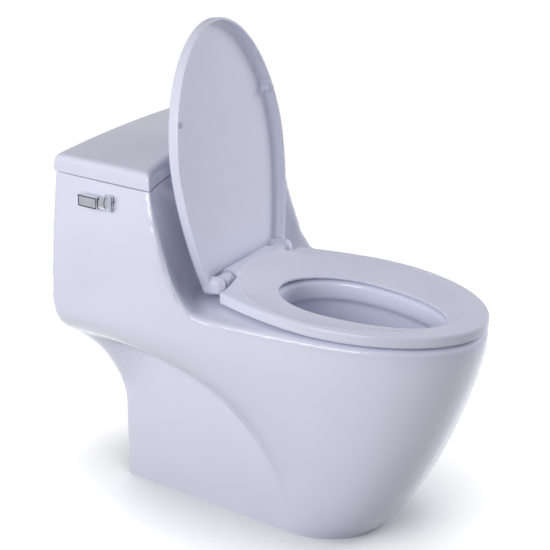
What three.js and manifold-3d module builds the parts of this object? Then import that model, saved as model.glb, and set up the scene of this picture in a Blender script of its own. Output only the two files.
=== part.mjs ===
// One-piece toilet with a soft-close seat and lid, in millimetres, +Z up, the front facing -Y.
// While it is drawn, the wall side of the tank is at y = 0 and "out" is a distance from the wall towards
// the front. The last group moves the toilet so that the origin is on the floor below its middle.
import * as THREE from "three";
import { mergeVertices } from "three/addons/utils/BufferGeometryUtils.js";
import Module from "manifold-3d";

const wasm = await Module();
wasm.setup();

// Shared values
const CLEAR = 0.3; // gap left between two pieces that touch
const OVERRUN = 5; // how far a cutting tool runs past the face that it cuts
const WELD = 0.001; // vertices closer than this are one vertex
const FLAT_WITHIN = 0.02; // faces that differ by less than this are joined into one
const ROUND_SIDES = 20; // sides of a turned piece
const SMALL_SIDES = 12; // sides of a small turned piece
const PIPE_SIDES = 8; // sides of a thin bent pipe
const HEX_SIDES = 6; // sides of a hexagon nut
const BEND_STEPS = 13; // steps along a bent tube

// The china as a whole
const RIM_FRONT = 747; // wall side of the tank to the front of the rim
const DECK_Z = 409; // height of the rim and of the deck behind the seat
const TANK_TOP_Z = 617; // height of the joint between tank and tank lid
const WIDEST_Z = 380; // the side walls stand upright here
const WALL = 12; // thickness of the china

// Rim outline, from the wall to the front
const RIM_REAR_HALF = 217;
const RIM_FLARE_HALF = 205; // control point of the flare between tank and bowl
const RIM_SIDE_HALF = 178; // half width where the round front starts
const RIM_SIDE_OUT = 440;
const RIM_ROUND_POWER = 2;

// Tank sides above the widest height
const TANK_REAR_TOP_HALF = 188;
const TANK_REAR_POWER = 1.45; // how the rear narrows towards the lid
const WING_OUT = 232; // the wings beside the seat stand this far out
const WING_TOP_HALF = 190;
const WING_BULGE = 8.5; // how far the wings swell above the deck
const WING_POWER = 3;
const CHINA_HALF = Math.max(RIM_REAR_HALF, WING_TOP_HALF) + WING_BULGE; // no side stands beyond this

// The arch where bowl and tank overhang the pedestal
const ARCH_LENGTH = 439;
const ARCH_HEIGHT = 292;
const ARCH_POWER = 2.3;
const ARCH_SINK = 3; // how far the overhang runs into the pedestal
const OVERHANG_REAR_POWER = 2; // a round overhang under the tank
const OVERHANG_FRONT_POWER = 1.25; // a nearly straight slope under the front of the bowl

// The pedestal
const PEDESTAL_REAR_OUT = 77;
const PEDESTAL_REAR_HALF = 116;
const PEDESTAL_FRONT_HALF = 128;
const COVE_BOTTOM_Z = 180; // the rear edge of the pedestal starts to curve back here
const COVE_TOP_Z = 266;
const COVE_POWER = 1.75;
const FOOT_FRONT_OUT = 577;
const FOOT_POWER = 2.2;
const TUBE_WALL = 9; // thickness of the china round the water ways

// The recess behind the seat, cut between the wings down to the deck
const WING_TOP_OUT = 214;
const WING_WAIST_OUT = 240;
const WING_WAIST_Z = 520;
const WING_HEEL_OUT = 258;
const WING_DECK_OUT = 325;
const TANK_FRONT_OUT = 176; // the middle of the tank front lies behind its corners
const TANK_FRONT_WAIST_Z = 480;
const TANK_FRONT_DECK_OUT = 205;
const RECESS_HALF = 200; // half width over which the recess is hollow

// The bowl inside, from the rim down to the sump
const BOWL_OUT = 481;
const BOWL_HALF = 90;
const BOWL_FRONT = 188;
const BOWL_REAR = 122;
const RIM_LEDGE = 14; // how far the rim stands over the bowl wall
const RIM_HEIGHT = 42;
const SUMP_OUT = 452;
const SUMP_HALF = 40;
const SUMP_FRONT = 52;
const SUMP_REAR = 46;
const SUMP_Z = 150;
const BOWL_POWER = 1.6;

// Trapway from the sump over the weir to the floor outlet
const TRAP_BORE = 26;
const TRAP_INLET_OUT = 415;
const TRAP_INLET_Z = 176;
const WEIR_OUT = 292;
const WEIR_Z = 262;
const DROP_OUT = 248;
const DROP_Z = 180;
const OUTLET_OUT = 290; // with the tank 15 mm off the wall this is a 305 mm rough-in
const OUTLET_Z = 8; // the outlet horn ends this far above the floor

// Tank inside and the water way from its flush valve to the rim
const TANK_FLOOR_Z = 318;
const TANK_FLOOR_INSET = 32; // the walls lean in by this much at the sides above the floor
const TANK_FLOOR_END_INSET = 22; // and by this much at the front and the rear
const TANK_WALL_Z = 372; // the inner walls stand at their full width from here up
const CHANNEL_BORE = 25;
const CHANNEL_DIP_OUT = 180;
const CHANNEL_DIP_Z = 288;
const CHANNEL_CREST_OUT = 292;
const CHANNEL_CREST_Z = 340;
const CHANNEL_END_Z = 345;

// Tank lid
const LID_JOINT = 2; // height of the joint line below the lid
const LID_SIDE = 30; // height of its edge
const LID_CROWN = 6;
const LID_ROUND = 11;
const LID_HOLLOW = 20; // depth of the hollow underneath
const LID_LIP = 16; // width of the rim that rests on the tank
const PAD_LENGTH = 14;
const PAD_WIDTH = 6;
const PAD_OUTS = [30, 170]; // distance of the pads from the wall

// Seat hinge
const HINGE_OUT = 286;
const HINGE_RISE = 25; // height of the axis above the deck
const HINGE_Z = DECK_Z + HINGE_RISE;
const POST_INNER = 70; // the posts stand between these distances from the middle
const POST_OUTER = 95;
const POST_RADIUS = 15;
const BUSH_HEIGHT = 2;
const DAMPER_RADIUS = 10;
const DAMPER_END = 1.5; // thickness of the post wall beyond the damper
const PIN_RADIUS = 4;
const PIN_SINK = 18; // length of the pin inside the seat and inside the lid
const STUD_RADIUS = 4;
const STUD_LENGTH = 36;
const STUD_HOLE = 6.5;
const NUT_RADIUS = 12;
const NUT_HEIGHT = 8;
const WASHER_RADIUS = 14;
const WASHER_HEIGHT = 2;

// Seat
const SEAT_GAP = 5; // between the deck and the underside of the seat
const SEAT_THICK = 21.5;
const SEAT_Z = DECK_Z + SEAT_GAP; // underside
const SEAT_TOP_Z = SEAT_Z + SEAT_THICK;
const SEAT_FRONT_OUT = 749;
const SEAT_WIDEST_OUT = 497;
const SEAT_HALF = 163;
const SEAT_REAR_HALF = 118.5;
const SEAT_REAR_OUT = 274; // the outline is drawn to here and cut off at the hinge
const SEAT_FRONT_POWER = 1.9;
const SEAT_REAR_POWER = 1.8;
const SEAT_CUT = 21; // the seat ends this far in front of the hinge axis beside its knuckle
const SEAT_DISH = 3.5; // how far the top is hollowed inside its raised edge
const SEAT_EDGE = 14; // width of that raised edge
const SEAT_ROUND = 5;
const HOLE_OUT = 481;
const HOLE_HALF = 84;
const HOLE_FRONT = 187;
const HOLE_REAR = 123;
const KNUCKLE_RADIUS = 20;
const KNUCKLE_HALF = 66;
const BUMPER_RADIUS = 7;
const BUMPER_SPOTS = [[125, 400], [100, 620]]; // distance from the middle and from the wall

// Lid over the seat
const COVER_RIM = 3; // height of its rim above the hinge axis when it is shut
const COVER_TOP = 28;
const COVER_INSET = 3; // how much smaller it is than the seat all round
const COVER_FRONT_INSET = 13; // it ends this much before the front of the seat
const COVER_WALL = 5;
const COVER_LIP = 1; // bevel along its rim
const COVER_ROUND = 9;
const COVER_REAR = 14; // its skin runs this far behind the hinge axis
const COVER_OPEN_DEG = 98;
const EAR_RADIUS = 18;
const EAR_OUTER = 121;
const BUFFER_DISTANCE = 297; // lid buffers lie this far from the hinge
const BUFFER_RADIUS = 6;
const BUFFER_BOSS = 7.5;
const BUFFER_INSET = 8; // its middle lies this far inside the edge of the lid
const BUFFER_SINK = 2; // depth of its pocket above the rim of the lid

// Trip lever on the right-hand side of the tank
const LEVER_OUT = 130;
const LEVER_Z = 589;
const LEVER_LENGTH = 59; // from the pivot to the tip of the paddle
const LEVER_DROP = 4; // how far the paddle hangs below the pivot
const PADDLE_LENGTH = 42;
const PADDLE_HEIGHT = 22;
const PADDLE_THICK = 9;
const PADDLE_FRAME = 3;
const PADDLE_SINK = 1.5;
const HUB_RADIUS = 16;
const HUB_THICK = 12;
const ESCUTCHEON_RADIUS = 18;
const ESCUTCHEON_THICK = 5;
const SPINDLE_RADIUS = 5;
const SLEEVE_RADIUS = 7.4; // threaded sleeve of the escutcheon through the tank wall
const SLEEVE_HOLE = 8;
const LEVER_NUT_RADIUS = 15;
const LEVER_NUT_THICK = 8;
const LEVER_NUT_GAP = 0.8; // the tank wall behind the nut is not quite flat
const SPINDLE_SPARE = 12; // length of the spindle beyond its sleeve
const ARM_HUB = 9;
const ARM_WIDTH = 8;
const ARM_THICK = 4;
const ARM_TIP_X = 49; // the arm presses on the rocker this far to the right of the middle

// Flush valve on the tank floor
const VALVE_OUT = 92;
const VALVE_HOLE = 31;
const VALVE_SPUD = 29.5;
const VALVE_SPUD_Z = 303;
const VALVE_BORE = 25;
const VALVE_FLANGE = 44;
const VALVE_FLANGE_HEIGHT = 12;
const VALVE_GASKET_HEIGHT = 2;
const SCREW_OFFSET = 38;
const SCREW_RADIUS = 1.8;
const SCREW_SINK = 9; // depth of the screws in the tank floor
const SCREW_HEAD = 3.5;
const SCREW_HEAD_HEIGHT = 3;
const LEG_WIDTH = 6;
const LEG_HEIGHT = 30;
const TOWER_PLATE = 5;
const TOWER_TOP_Z = 545;
const TOWER_RADIUS = 17;
const STEM_RADIUS = 8;
const STEM_NECK = 5; // radius of the stem between the prongs of the rocker
const STEM_NECK_Z = 540;
const STEM_CAP = 13;
const STEM_CAP_HEIGHT = 4;
const DISC_RADIUS = 33;
const DISC_HEIGHT = 6;
const DISC_BOSS = 22.7;
const SEAL_RADIUS = 31;
const SEAL_HEIGHT = 2.5;
const OVERFLOW_X = 62;
const OVERFLOW_RADIUS = 13;
const OVERFLOW_WALL = 2.5;
const OVERFLOW_TOP_Z = 560;
const DUCT_WIDTH = 18;
const DUCT_HEIGHT = 5;
const ROCKER_PIVOT_X = 25; // the rocker turns on a pin this far to the right of the stem
const ROCKER_Z = 559;
const ROCKER_HEIGHT = 6;
const ROCKER_HALF = 10.5; // half width of its middle
const ROCKER_BOSS = 5;
const ROCKER_BODY = 9.5; // its middle reaches this far to either side of the pin
const ROCKER_PAD = 28; // the pad under the lever arm ends this far from the pin
const PAD_SWEEP = 17; // the pad follows the sweep of the arm this far to the front
const PRONG_LENGTH = 29;
const PRONG_WIDTH = 4;
const ROCKER_PIN_RADIUS = 2;
const ROCKER_EAR = 4; // thickness of the ears that hold the pin
const ROCKER_PLAY = 1.2; // gap between the rocker and what it touches

// Fill valve on the left-hand side of the tank
const FILL_FLOOR_SIDE = 79; // least distance from the china's widest side to the fill valve
const FILL_TOP_SIDE = 50; // least distance from the side of the tank top to it
const FILL_X = Math.min(RIM_REAR_HALF - FILL_FLOOR_SIDE, TANK_REAR_TOP_HALF - FILL_TOP_SIDE);
const FILL_OUT = 66;
const SHANK_RADIUS = 11;
const SHANK_BORE = 5;
const SHANK_END_Z = 262;
const SHANK_HOLE = 14;
const SHANK_SEAT_Z = 304; // flat face cut for its nut under the tank
const SHANK_NUT_RADIUS = 19;
const SHANK_NUT_HEIGHT = 10;
const SHANK_NUT_SPACE = 3;
const FILL_FLANGE = 19;
const FILL_FLANGE_HEIGHT = 4;
const FILL_WASHER_HEIGHT = 2;
const RISER_RADIUS = 14;
const FILL_HEAD_RADIUS = 21;
const FILL_HEAD_Z = 505;
const FILL_HEAD_HEIGHT = 24;
const FILL_CAP_HEIGHT = 9;
const FLOAT_RADIUS = 30;
const FLOAT_WALL_GAP = 1.2;
const FLOAT_HEIGHT = 48;
const FLOAT_LOW_Z = 396;
const FLOAT_STOP_RADIUS = 18;
const FLOAT_STOP_HEIGHT = 4;
const REFILL_RADIUS = 4;
const REFILL_BORE = 2.5;
const REFILL_RISE = 14; // how far the refill pipe rises above the overflow
const REFILL_DIP = 8; // how far it reaches down into the overflow

// Seal around the outlet on the floor
const SEAL_GAP = 0.5;
const SEAL_WIDTH = 20;
const SEAL_RING_HEIGHT = 18;

// Steps in the curved surfaces
const SIDE_STEPS = 26; // along each side of the china, from the rear corner to the front
const HOLLOW_STEPS = 12;
const OVERHANG_ROWS = 8;
const TANK_ROWS = 6;
const BOWL_ROWS = 7;
const OVAL_STEPS = 32;
const RECESS_STEPS = 10; // across the recess
const WING_STEPS = 10; // down the wings
const LID_LIP_STEPS = 2; // along each half of the hollow under the tank lid
const ROUND_SHARES = [0, 1 / 8, 1 / 3, 2 / 3, 1]; // places across a rounded edge
const SEAT_STEPS = 18; // along each side of the seat

// Share of the way from a to b.
function between(a, b, share) {
  return a + (b - a) * share;
}

// Point at x, this far out from the wall and this high.
function at(x, out, z) {
  return new THREE.Vector3(x, -out, z);
}

// Quarter of a superellipse: shares of its two half axes at an angle from the first.
function roundShares(angle, power) {
  return [Math.abs(Math.cos(angle)) ** (2 / power), Math.sin(angle) ** (2 / power)];
}

// Geometry to a manifold solid, and back.
function solidOf(geometry) {
  const bare = geometry.clone();
  bare.deleteAttribute("normal");
  bare.deleteAttribute("uv");
  const merged = mergeVertices(bare, WELD);
  return new wasm.Manifold(
    new wasm.Mesh({
      numProp: 3,
      vertProperties: merged.attributes.position.array,
      triVerts: new Uint32Array(merged.index.array),
    }),
  );
}

function geometryOf(solid) {
  const mesh = solid.simplify(FLAT_WITHIN).getMesh();
  const geometry = new THREE.BufferGeometry();
  geometry.setAttribute("position", new THREE.BufferAttribute(mesh.vertProperties, 3));
  geometry.setIndex(new THREE.BufferAttribute(mesh.triVerts, 1));
  return geometry;
}

// A closed solid through rings that run anticlockwise seen from the side to which the rings advance.
// Each ring is laid out in pairs: point i lies across from point n - 1 - i, and the end faces join the pairs.
function loft(rings) {
  const n = rings[0].length;
  const index = [];
  for (let r = 0; r + 1 < rings.length; r++) {
    for (let i = 0; i < n; i++) {
      const [a, b] = [r * n + i, r * n + ((i + 1) % n)];
      index.push(a, b, b + n, a, b + n, a + n);
    }
  }
  const last = (rings.length - 1) * n;
  for (let i = 0; i < Math.floor((n - 1) / 2); i++) {
    const [a, b, c, d] = [i, i + 1, n - 2 - i, n - 1 - i];
    index.push(a, d, c, last + a, last + c, last + d);
    if (b !== c) index.push(a, c, b, last + a, last + b, last + c);
  }
  const geometry = new THREE.BufferGeometry().setFromPoints(rings.flat());
  geometry.setIndex(index);
  return solidOf(geometry);
}

// Simple bodies as solids
function block(x0, x1, out0, out1, z0, z1) {
  const geometry = new THREE.BoxGeometry(x1 - x0, out1 - out0, z1 - z0);
  geometry.translate((x0 + x1) / 2, -(out0 + out1) / 2, (z0 + z1) / 2);
  return solidOf(geometry);
}

// Upright cylinder; sides may be HEX_SIDES for a nut.
function post(radius, x, out, z0, z1, sides = ROUND_SIDES) {
  const geometry = new THREE.CylinderGeometry(radius, radius, z1 - z0, sides);
  geometry.rotateX(Math.PI / 2);
  geometry.translate(x, -out, (z0 + z1) / 2);
  return solidOf(geometry);
}

function tube(outer, inner, x, out, z0, z1, sides = ROUND_SIDES) {
  return post(outer, x, out, z0, z1, sides).subtract(
    post(inner, x, out, z0 - OVERRUN, z1 + OVERRUN, sides),
  );
}

// Cylinder along X.
function axle(radius, x0, x1, out, z, sides = ROUND_SIDES) {
  const geometry = new THREE.CylinderGeometry(radius, radius, x1 - x0, sides);
  geometry.rotateZ(Math.PI / 2);
  geometry.translate((x0 + x1) / 2, -out, z);
  return solidOf(geometry);
}

// Outline of points [out, z] pushed along X.
function extrudeAcross(outline, x0, x1) {
  const shape = new THREE.Shape(outline.map(([out, z]) => new THREE.Vector2(-out, z)));
  const geometry = new THREE.ExtrudeGeometry(shape, { depth: x1 - x0, bevelEnabled: false });
  const [y, z, x] = [new THREE.Vector3(0, 1, 0), new THREE.Vector3(0, 0, 1), new THREE.Vector3(1, 0, 0)];
  geometry.applyMatrix4(new THREE.Matrix4().makeBasis(y, z, x));
  geometry.translate(x0, 0, 0);
  return solidOf(geometry);
}

// Outline of points [x, out] pushed upwards.
function extrudeUp(outline, z0, z1) {
  const shape = new THREE.Shape(outline.map(([x, out]) => new THREE.Vector2(x, -out)));
  const geometry = new THREE.ExtrudeGeometry(shape, { depth: z1 - z0, bevelEnabled: false });
  geometry.translate(0, 0, z0);
  return solidOf(geometry);
}

// Round bar along a curve through the points.
function bentBar(radius, points, sides, steps = BEND_STEPS) {
  const circle = new THREE.Shape().absarc(0, 0, radius, 0, 2 * Math.PI);
  const geometry = new THREE.ExtrudeGeometry(new THREE.Shape(circle.getSpacedPoints(sides).slice(1)), {
    steps,
    bevelEnabled: false,
    extrudePath: new THREE.CatmullRomCurve3(points),
  });
  return solidOf(geometry);
}

// Half width of the pedestal at a distance from the wall.
function pedestalHalf(out) {
  const share = (out - PEDESTAL_REAR_OUT) / (ARCH_LENGTH - PEDESTAL_REAR_OUT);
  return between(PEDESTAL_REAR_HALF, PEDESTAL_FRONT_HALF, share);
}

// Half width of the rim, straight-sided part.
function rimHalf(out) {
  const share = out / RIM_SIDE_OUT;
  const flare = between(RIM_REAR_HALF, RIM_FLARE_HALF, share);
  return between(flare, between(RIM_FLARE_HALF, RIM_SIDE_HALF, share), share);
}

// Outline of the rim at the widest height, one side, from the wall to the front.
class RimRail extends THREE.Curve {
  constructor(inset) {
    super();
    this.inset = inset;
  }
  getPoint(t) {
    if (t < 1 / 2) {
      const out = between(this.inset, RIM_SIDE_OUT, 2 * t);
      return at(this.inset - rimHalf(out), out, WIDEST_Z);
    }
    const [side, front] = roundShares((t - 1 / 2) * Math.PI, RIM_ROUND_POWER);
    const length = RIM_FRONT - this.inset - RIM_SIDE_OUT;
    const slope = (2 * (RIM_FLARE_HALF - RIM_SIDE_HALF)) / RIM_SIDE_OUT;
    const taper = slope * length * front * (1 - front) ** 2;
    return at(taper - (RIM_SIDE_HALF - this.inset) * side, RIM_SIDE_OUT + length * front, WIDEST_Z);
  }
}

// Lower edge of the overhang: along the arch down to the floor, then round the front of the foot.
class ArchRail extends THREE.Curve {
  constructor(inset) {
    super();
    this.inset = inset;
  }
  getPoint(t) {
    if (t < 1 / 2) {
      const [up, along] = roundShares(t * Math.PI, ARCH_POWER);
      const out = between(this.inset, ARCH_LENGTH, along);
      const half = pedestalHalf(out) - ARCH_SINK * up - this.inset;
      return at(-half, out, (ARCH_HEIGHT + this.inset) * up);
    }
    const [side, front] = roundShares((t - 1 / 2) * Math.PI, FOOT_POWER);
    const length = FOOT_FRONT_OUT - this.inset - ARCH_LENGTH;
    return at((this.inset - PEDESTAL_FRONT_HALF) * side, ARCH_LENGTH + length * front, 0);
  }
}

// How far the side stands beside the rim outline above the widest height.
function sideOffset(out, z) {
  const up = Math.max(0, (z - WIDEST_Z) / (TANK_TOP_Z - WIDEST_Z));
  const rear = (TANK_REAR_TOP_HALF - RIM_REAR_HALF) * up ** TANK_REAR_POWER;
  const swell = 4 * WING_BULGE * up * (1 - up);
  const wing = swell + (WING_TOP_HALF - rimHalf(WING_OUT)) * up ** WING_POWER;
  const fade = Math.min(1, Math.max(0, (RIM_SIDE_OUT - out) / (RIM_SIDE_OUT - WING_OUT)));
  return between(rear, wing, Math.min(1, out / WING_OUT)) * fade;
}

function tankHalf(out, z) {
  return rimHalf(out) + sideOffset(out, z);
}

// Places that follow from the sizes above
const LEVER_WALL = tankHalf(LEVER_OUT, LEVER_Z);
const LEVER_FACE = -LEVER_WALL - ESCUTCHEON_THICK - CLEAR;
const LEVER_NUT_X = WALL + LEVER_NUT_GAP - leverWall(LEVER_NUT_RADIUS);
const SLEEVE_END = LEVER_NUT_X + LEVER_NUT_THICK + SLEEVE_RADIUS / 4;
const SPINDLE_END = SLEEVE_END + SPINDLE_SPARE;
const VALVE_SEAT_Z = TANK_FLOOR_Z + VALVE_GASKET_HEIGHT + CLEAR + VALVE_FLANGE_HEIGHT;
const SCREW_Z = TANK_FLOOR_Z - SCREW_SINK;
const STUD_X = (POST_INNER + POST_OUTER) / 2;
const STUD_TOP_Z = HINGE_Z - DAMPER_RADIUS - STUD_RADIUS;
const EAR_INNER = POST_OUTER + 4 * CLEAR;
const REFILL_Z = FILL_HEAD_Z + FILL_HEAD_HEIGHT / 2;
const REFILL_START_X = FILL_X - FILL_HEAD_RADIUS - REFILL_RADIUS;
const BUFFER_X = coverHalf(HINGE_OUT + BUFFER_DISTANCE) - BUFFER_INSET;

// Least distance of the tank's side from the middle over a square about the lever.
function leverWall(reach) {
  const corners = [-reach, reach].flatMap((a) => [-reach, reach].map((b) => [LEVER_OUT + a, LEVER_Z + b]));
  return Math.min(...corners.map(([out, z]) => tankHalf(out, z)));
}

// The half ring from the rear corner to the front, and its mirror image, as one ring.
function mirrored(half) {
  const other = half.slice(0, -1).reverse();
  return [...half, ...other.map((p) => new THREE.Vector3(-p.x, p.y, p.z))];
}

// Outside of bowl and tank without the pedestal, or the same form smaller by an inset.
function bowlAndTank(inset, topZ, steps) {
  const upper = new RimRail(inset).getSpacedPoints(steps);
  const lower = new ArchRail(inset).getSpacedPoints(steps);
  const rings = [];
  for (let row = 0; row <= OVERHANG_ROWS; row++) {
    const angle = ((row / OVERHANG_ROWS) * Math.PI) / 2;
    const half = upper.map((top, i) => {
      const power = between(OVERHANG_REAR_POWER, OVERHANG_FRONT_POWER, i / steps);
      const [short, outward] = roundShares(angle, power);
      const p = lower[i];
      return new THREE.Vector3(
        between(p.x, top.x, outward),
        between(p.y, top.y, outward),
        between(p.z, WIDEST_Z, 1 - short),
      );
    });
    rings.push(mirrored(half));
  }
  const rows = topZ > DECK_Z ? TANK_ROWS : 1;
  for (let row = 1; row <= rows; row++) {
    const z = between(WIDEST_Z, topZ, row / rows);
    const half = upper.map((p) => new THREE.Vector3(p.x - sideOffset(-p.y, z), p.y, z));
    half[steps].x = 0;
    rings.push(mirrored(half));
  }
  return loft(rings);
}

// Pedestal between the foot and the overhang, its rear edge curving back under the tank.
function pedestal(inset, topZ) {
  const rear = PEDESTAL_REAR_OUT + inset;
  const outline = [[ARCH_LENGTH, -inset], [ARCH_LENGTH, topZ], [inset, topZ]];
  for (let step = 0; step <= OVERHANG_ROWS; step++) {
    const [back, down] = roundShares(((1 - step / OVERHANG_ROWS) * Math.PI) / 2, COVE_POWER);
    outline.push([inset + (rear - inset) * back, between(COVE_BOTTOM_Z, COVE_TOP_Z, down) + inset]);
  }
  outline.push([rear, -inset]);
  const plan = [0, ARCH_LENGTH + OVERRUN].map((out) => [pedestalHalf(out) - inset, out]);
  const walls = [...plan, ...plan.map(([x, out]) => [-x, out]).reverse()];
  return extrudeAcross(outline, -CHINA_HALF, CHINA_HALF).intersect(
    extrudeUp(walls, -OVERRUN - inset, topZ + OVERRUN),
  );
}

// Side view of the recess, at the wings (share 1) and in the middle of the tank front (share 0).
const WING_PROFILE = new THREE.CubicBezierCurve(
  new THREE.Vector2(WING_TOP_OUT, TANK_TOP_Z),
  new THREE.Vector2(WING_WAIST_OUT, WING_WAIST_Z),
  new THREE.Vector2(WING_HEEL_OUT, DECK_Z),
  new THREE.Vector2(WING_DECK_OUT, DECK_Z),
);
const MIDDLE_PROFILE = new THREE.CubicBezierCurve(
  new THREE.Vector2(TANK_FRONT_OUT, TANK_TOP_Z),
  new THREE.Vector2(TANK_FRONT_OUT, TANK_FRONT_WAIST_Z),
  new THREE.Vector2(TANK_FRONT_OUT, DECK_Z),
  new THREE.Vector2(TANK_FRONT_DECK_OUT, DECK_Z),
);

function recessProfile(x) {
  const share = Math.min(1, (x / RECESS_HALF) ** 2);
  const wing = WING_PROFILE.getPoints(WING_STEPS);
  return MIDDLE_PROFILE.getPoints(WING_STEPS).map((p, i) => p.clone().lerp(wing[i], share));
}

// How far out the tank front lies at its top edge.
function tankFrontOut(x) {
  return recessProfile(x)[0].x;
}

// Space in front of the tank, between the wings and above the deck.
function recess() {
  const rings = [];
  const reach = CHINA_HALF + OVERRUN;
  for (let step = 0; step <= 2 * RECESS_STEPS; step++) {
    const x = between(-reach, reach, step / (2 * RECESS_STEPS));
    const profile = recessProfile(x);
    const lower = profile.map((p) => at(x, p.x, p.y));
    lower.push(at(x, RIM_FRONT + OVERRUN, DECK_Z));
    lower.reverse();
    const upper = lower.map((p) => new THREE.Vector3(x, p.y, TANK_TOP_Z + OVERRUN));
    rings.push([...lower, ...upper.reverse()]);
  }
  return loft(rings);
}

// Oval ring with its own reach to the front and to the rear; an even count keeps it in pairs.
function ovalRing(half, front, rear, out, z) {
  const ring = [];
  for (let step = 0; step < OVAL_STEPS; step++) {
    const angle = ((step + 1 / 2) / OVAL_STEPS) * 2 * Math.PI;
    const along = Math.cos(angle) > 0 ? rear : front;
    ring.push(at(-half * Math.sin(angle), out - along * Math.cos(angle), z));
  }
  return ring;
}

// Bowl between the sump and the underside of the rim, larger by "grow".
function bowlRings(grow) {
  const rimBottom = DECK_Z - RIM_HEIGHT;
  const rings = [];
  for (let row = 0; row <= BOWL_ROWS; row++) {
    const up = row / BOWL_ROWS;
    const wide = up ** (1 / BOWL_POWER);
    rings.push(
      ovalRing(
        between(SUMP_HALF, BOWL_HALF + RIM_LEDGE, wide) + grow,
        between(SUMP_FRONT, BOWL_FRONT + RIM_LEDGE, wide) + grow,
        between(SUMP_REAR, BOWL_REAR + RIM_LEDGE, wide) + grow,
        between(SUMP_OUT, BOWL_OUT, wide),
        between(SUMP_Z - grow, rimBottom, up),
      ),
    );
  }
  return rings;
}

function bowlHollow() {
  const rim = (z) => ovalRing(BOWL_HALF, BOWL_FRONT, BOWL_REAR, BOWL_OUT, z);
  return loft([...bowlRings(0), rim(DECK_Z - RIM_HEIGHT + CLEAR), rim(DECK_Z + OVERRUN)]);
}

function bowlOutside() {
  const grown = bowlRings(WALL);
  const top = grown[BOWL_ROWS].map((p) => new THREE.Vector3(p.x, p.y, DECK_Z));
  return loft([...grown, top]);
}

function trapway(radius) {
  const path = [
    [SUMP_OUT, TRAP_INLET_Z],
    [TRAP_INLET_OUT, TRAP_INLET_Z],
    [between(TRAP_INLET_OUT, WEIR_OUT, 1 / 2), between(TRAP_INLET_Z, WEIR_Z, 1 / 2)],
    [WEIR_OUT, WEIR_Z],
    [DROP_OUT, between(DROP_Z, WEIR_Z, 3 / 4)],
    [DROP_OUT, DROP_Z],
    [OUTLET_OUT, DROP_Z / 3],
    [OUTLET_OUT, SEAL_RING_HEIGHT + WALL],
    [OUTLET_OUT, OUTLET_Z - WALL],
  ];
  return bentBar(radius, path.map(([out, z]) => at(0, out, z)), SMALL_SIDES);
}

function channel(radius) {
  const path = [
    [VALVE_OUT, TANK_FLOOR_Z],
    [VALVE_OUT, CHANNEL_DIP_Z + TRAP_BORE / 2],
    [CHANNEL_DIP_OUT, CHANNEL_DIP_Z],
    [CHANNEL_CREST_OUT, CHANNEL_CREST_Z],
    [BOWL_OUT - BOWL_REAR, CHANNEL_END_Z],
  ];
  return bentBar(radius, path.map(([out, z]) => at(0, out, z)), SMALL_SIDES);
}

// Inside of the tank, its front wall following the hollow front.
function tankHollow() {
  const ring = (z, inset, endInset) => {
    const corner = tankHalf(WING_TOP_OUT, z) - WALL - inset;
    const frontAt = (x) => tankFrontOut(x) - WALL - endInset;
    const half = [0, 1 / 3, 2 / 3].map((share) => {
      const out = between(WALL + endInset, frontAt(corner), share);
      return at(WALL + inset - tankHalf(out, z), out, z);
    });
    for (let step = 0; step <= RECESS_STEPS / 2; step++) {
      const x = -corner * (1 - step / (RECESS_STEPS / 2));
      half.push(at(x, frontAt(x), z));
    }
    return mirrored(half);
  };
  const rings = [ring(TANK_FLOOR_Z, TANK_FLOOR_INSET, TANK_FLOOR_END_INSET), ring(TANK_WALL_Z, 0, 0)];
  for (let row = 1; row <= TANK_ROWS; row++) {
    rings.push(ring(between(TANK_WALL_Z, TANK_TOP_Z + OVERRUN, row / TANK_ROWS), 0, 0));
  }
  return loft(rings);
}

// Space under the china, open at the foot and above the cove behind the pedestal.
function footHollow() {
  const under = bowlAndTank(WALL, DECK_Z - WALL, HOLLOW_STEPS).add(pedestal(WALL, ARCH_HEIGHT + WALL));
  const floor = block(-CHINA_HALF, CHINA_HALF, 0, WING_TOP_OUT, TANK_FLOOR_Z - WALL, TANK_TOP_Z);
  const open = extrudeUp(footOutline(WALL), -OVERRUN, OVERRUN);
  return under.subtract(floor).add(open);
}

function footOutline(inset) {
  const points = new ArchRail(inset).getSpacedPoints(HOLLOW_STEPS).filter((p) => p.z === 0);
  const rear = PEDESTAL_REAR_OUT + inset;
  const side = [[inset - pedestalHalf(rear), rear], ...points.map((p) => [p.x, -p.y])];
  return [...side, ...side.slice(0, -1).reverse().map(([x, out]) => [-x, out])];
}

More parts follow.
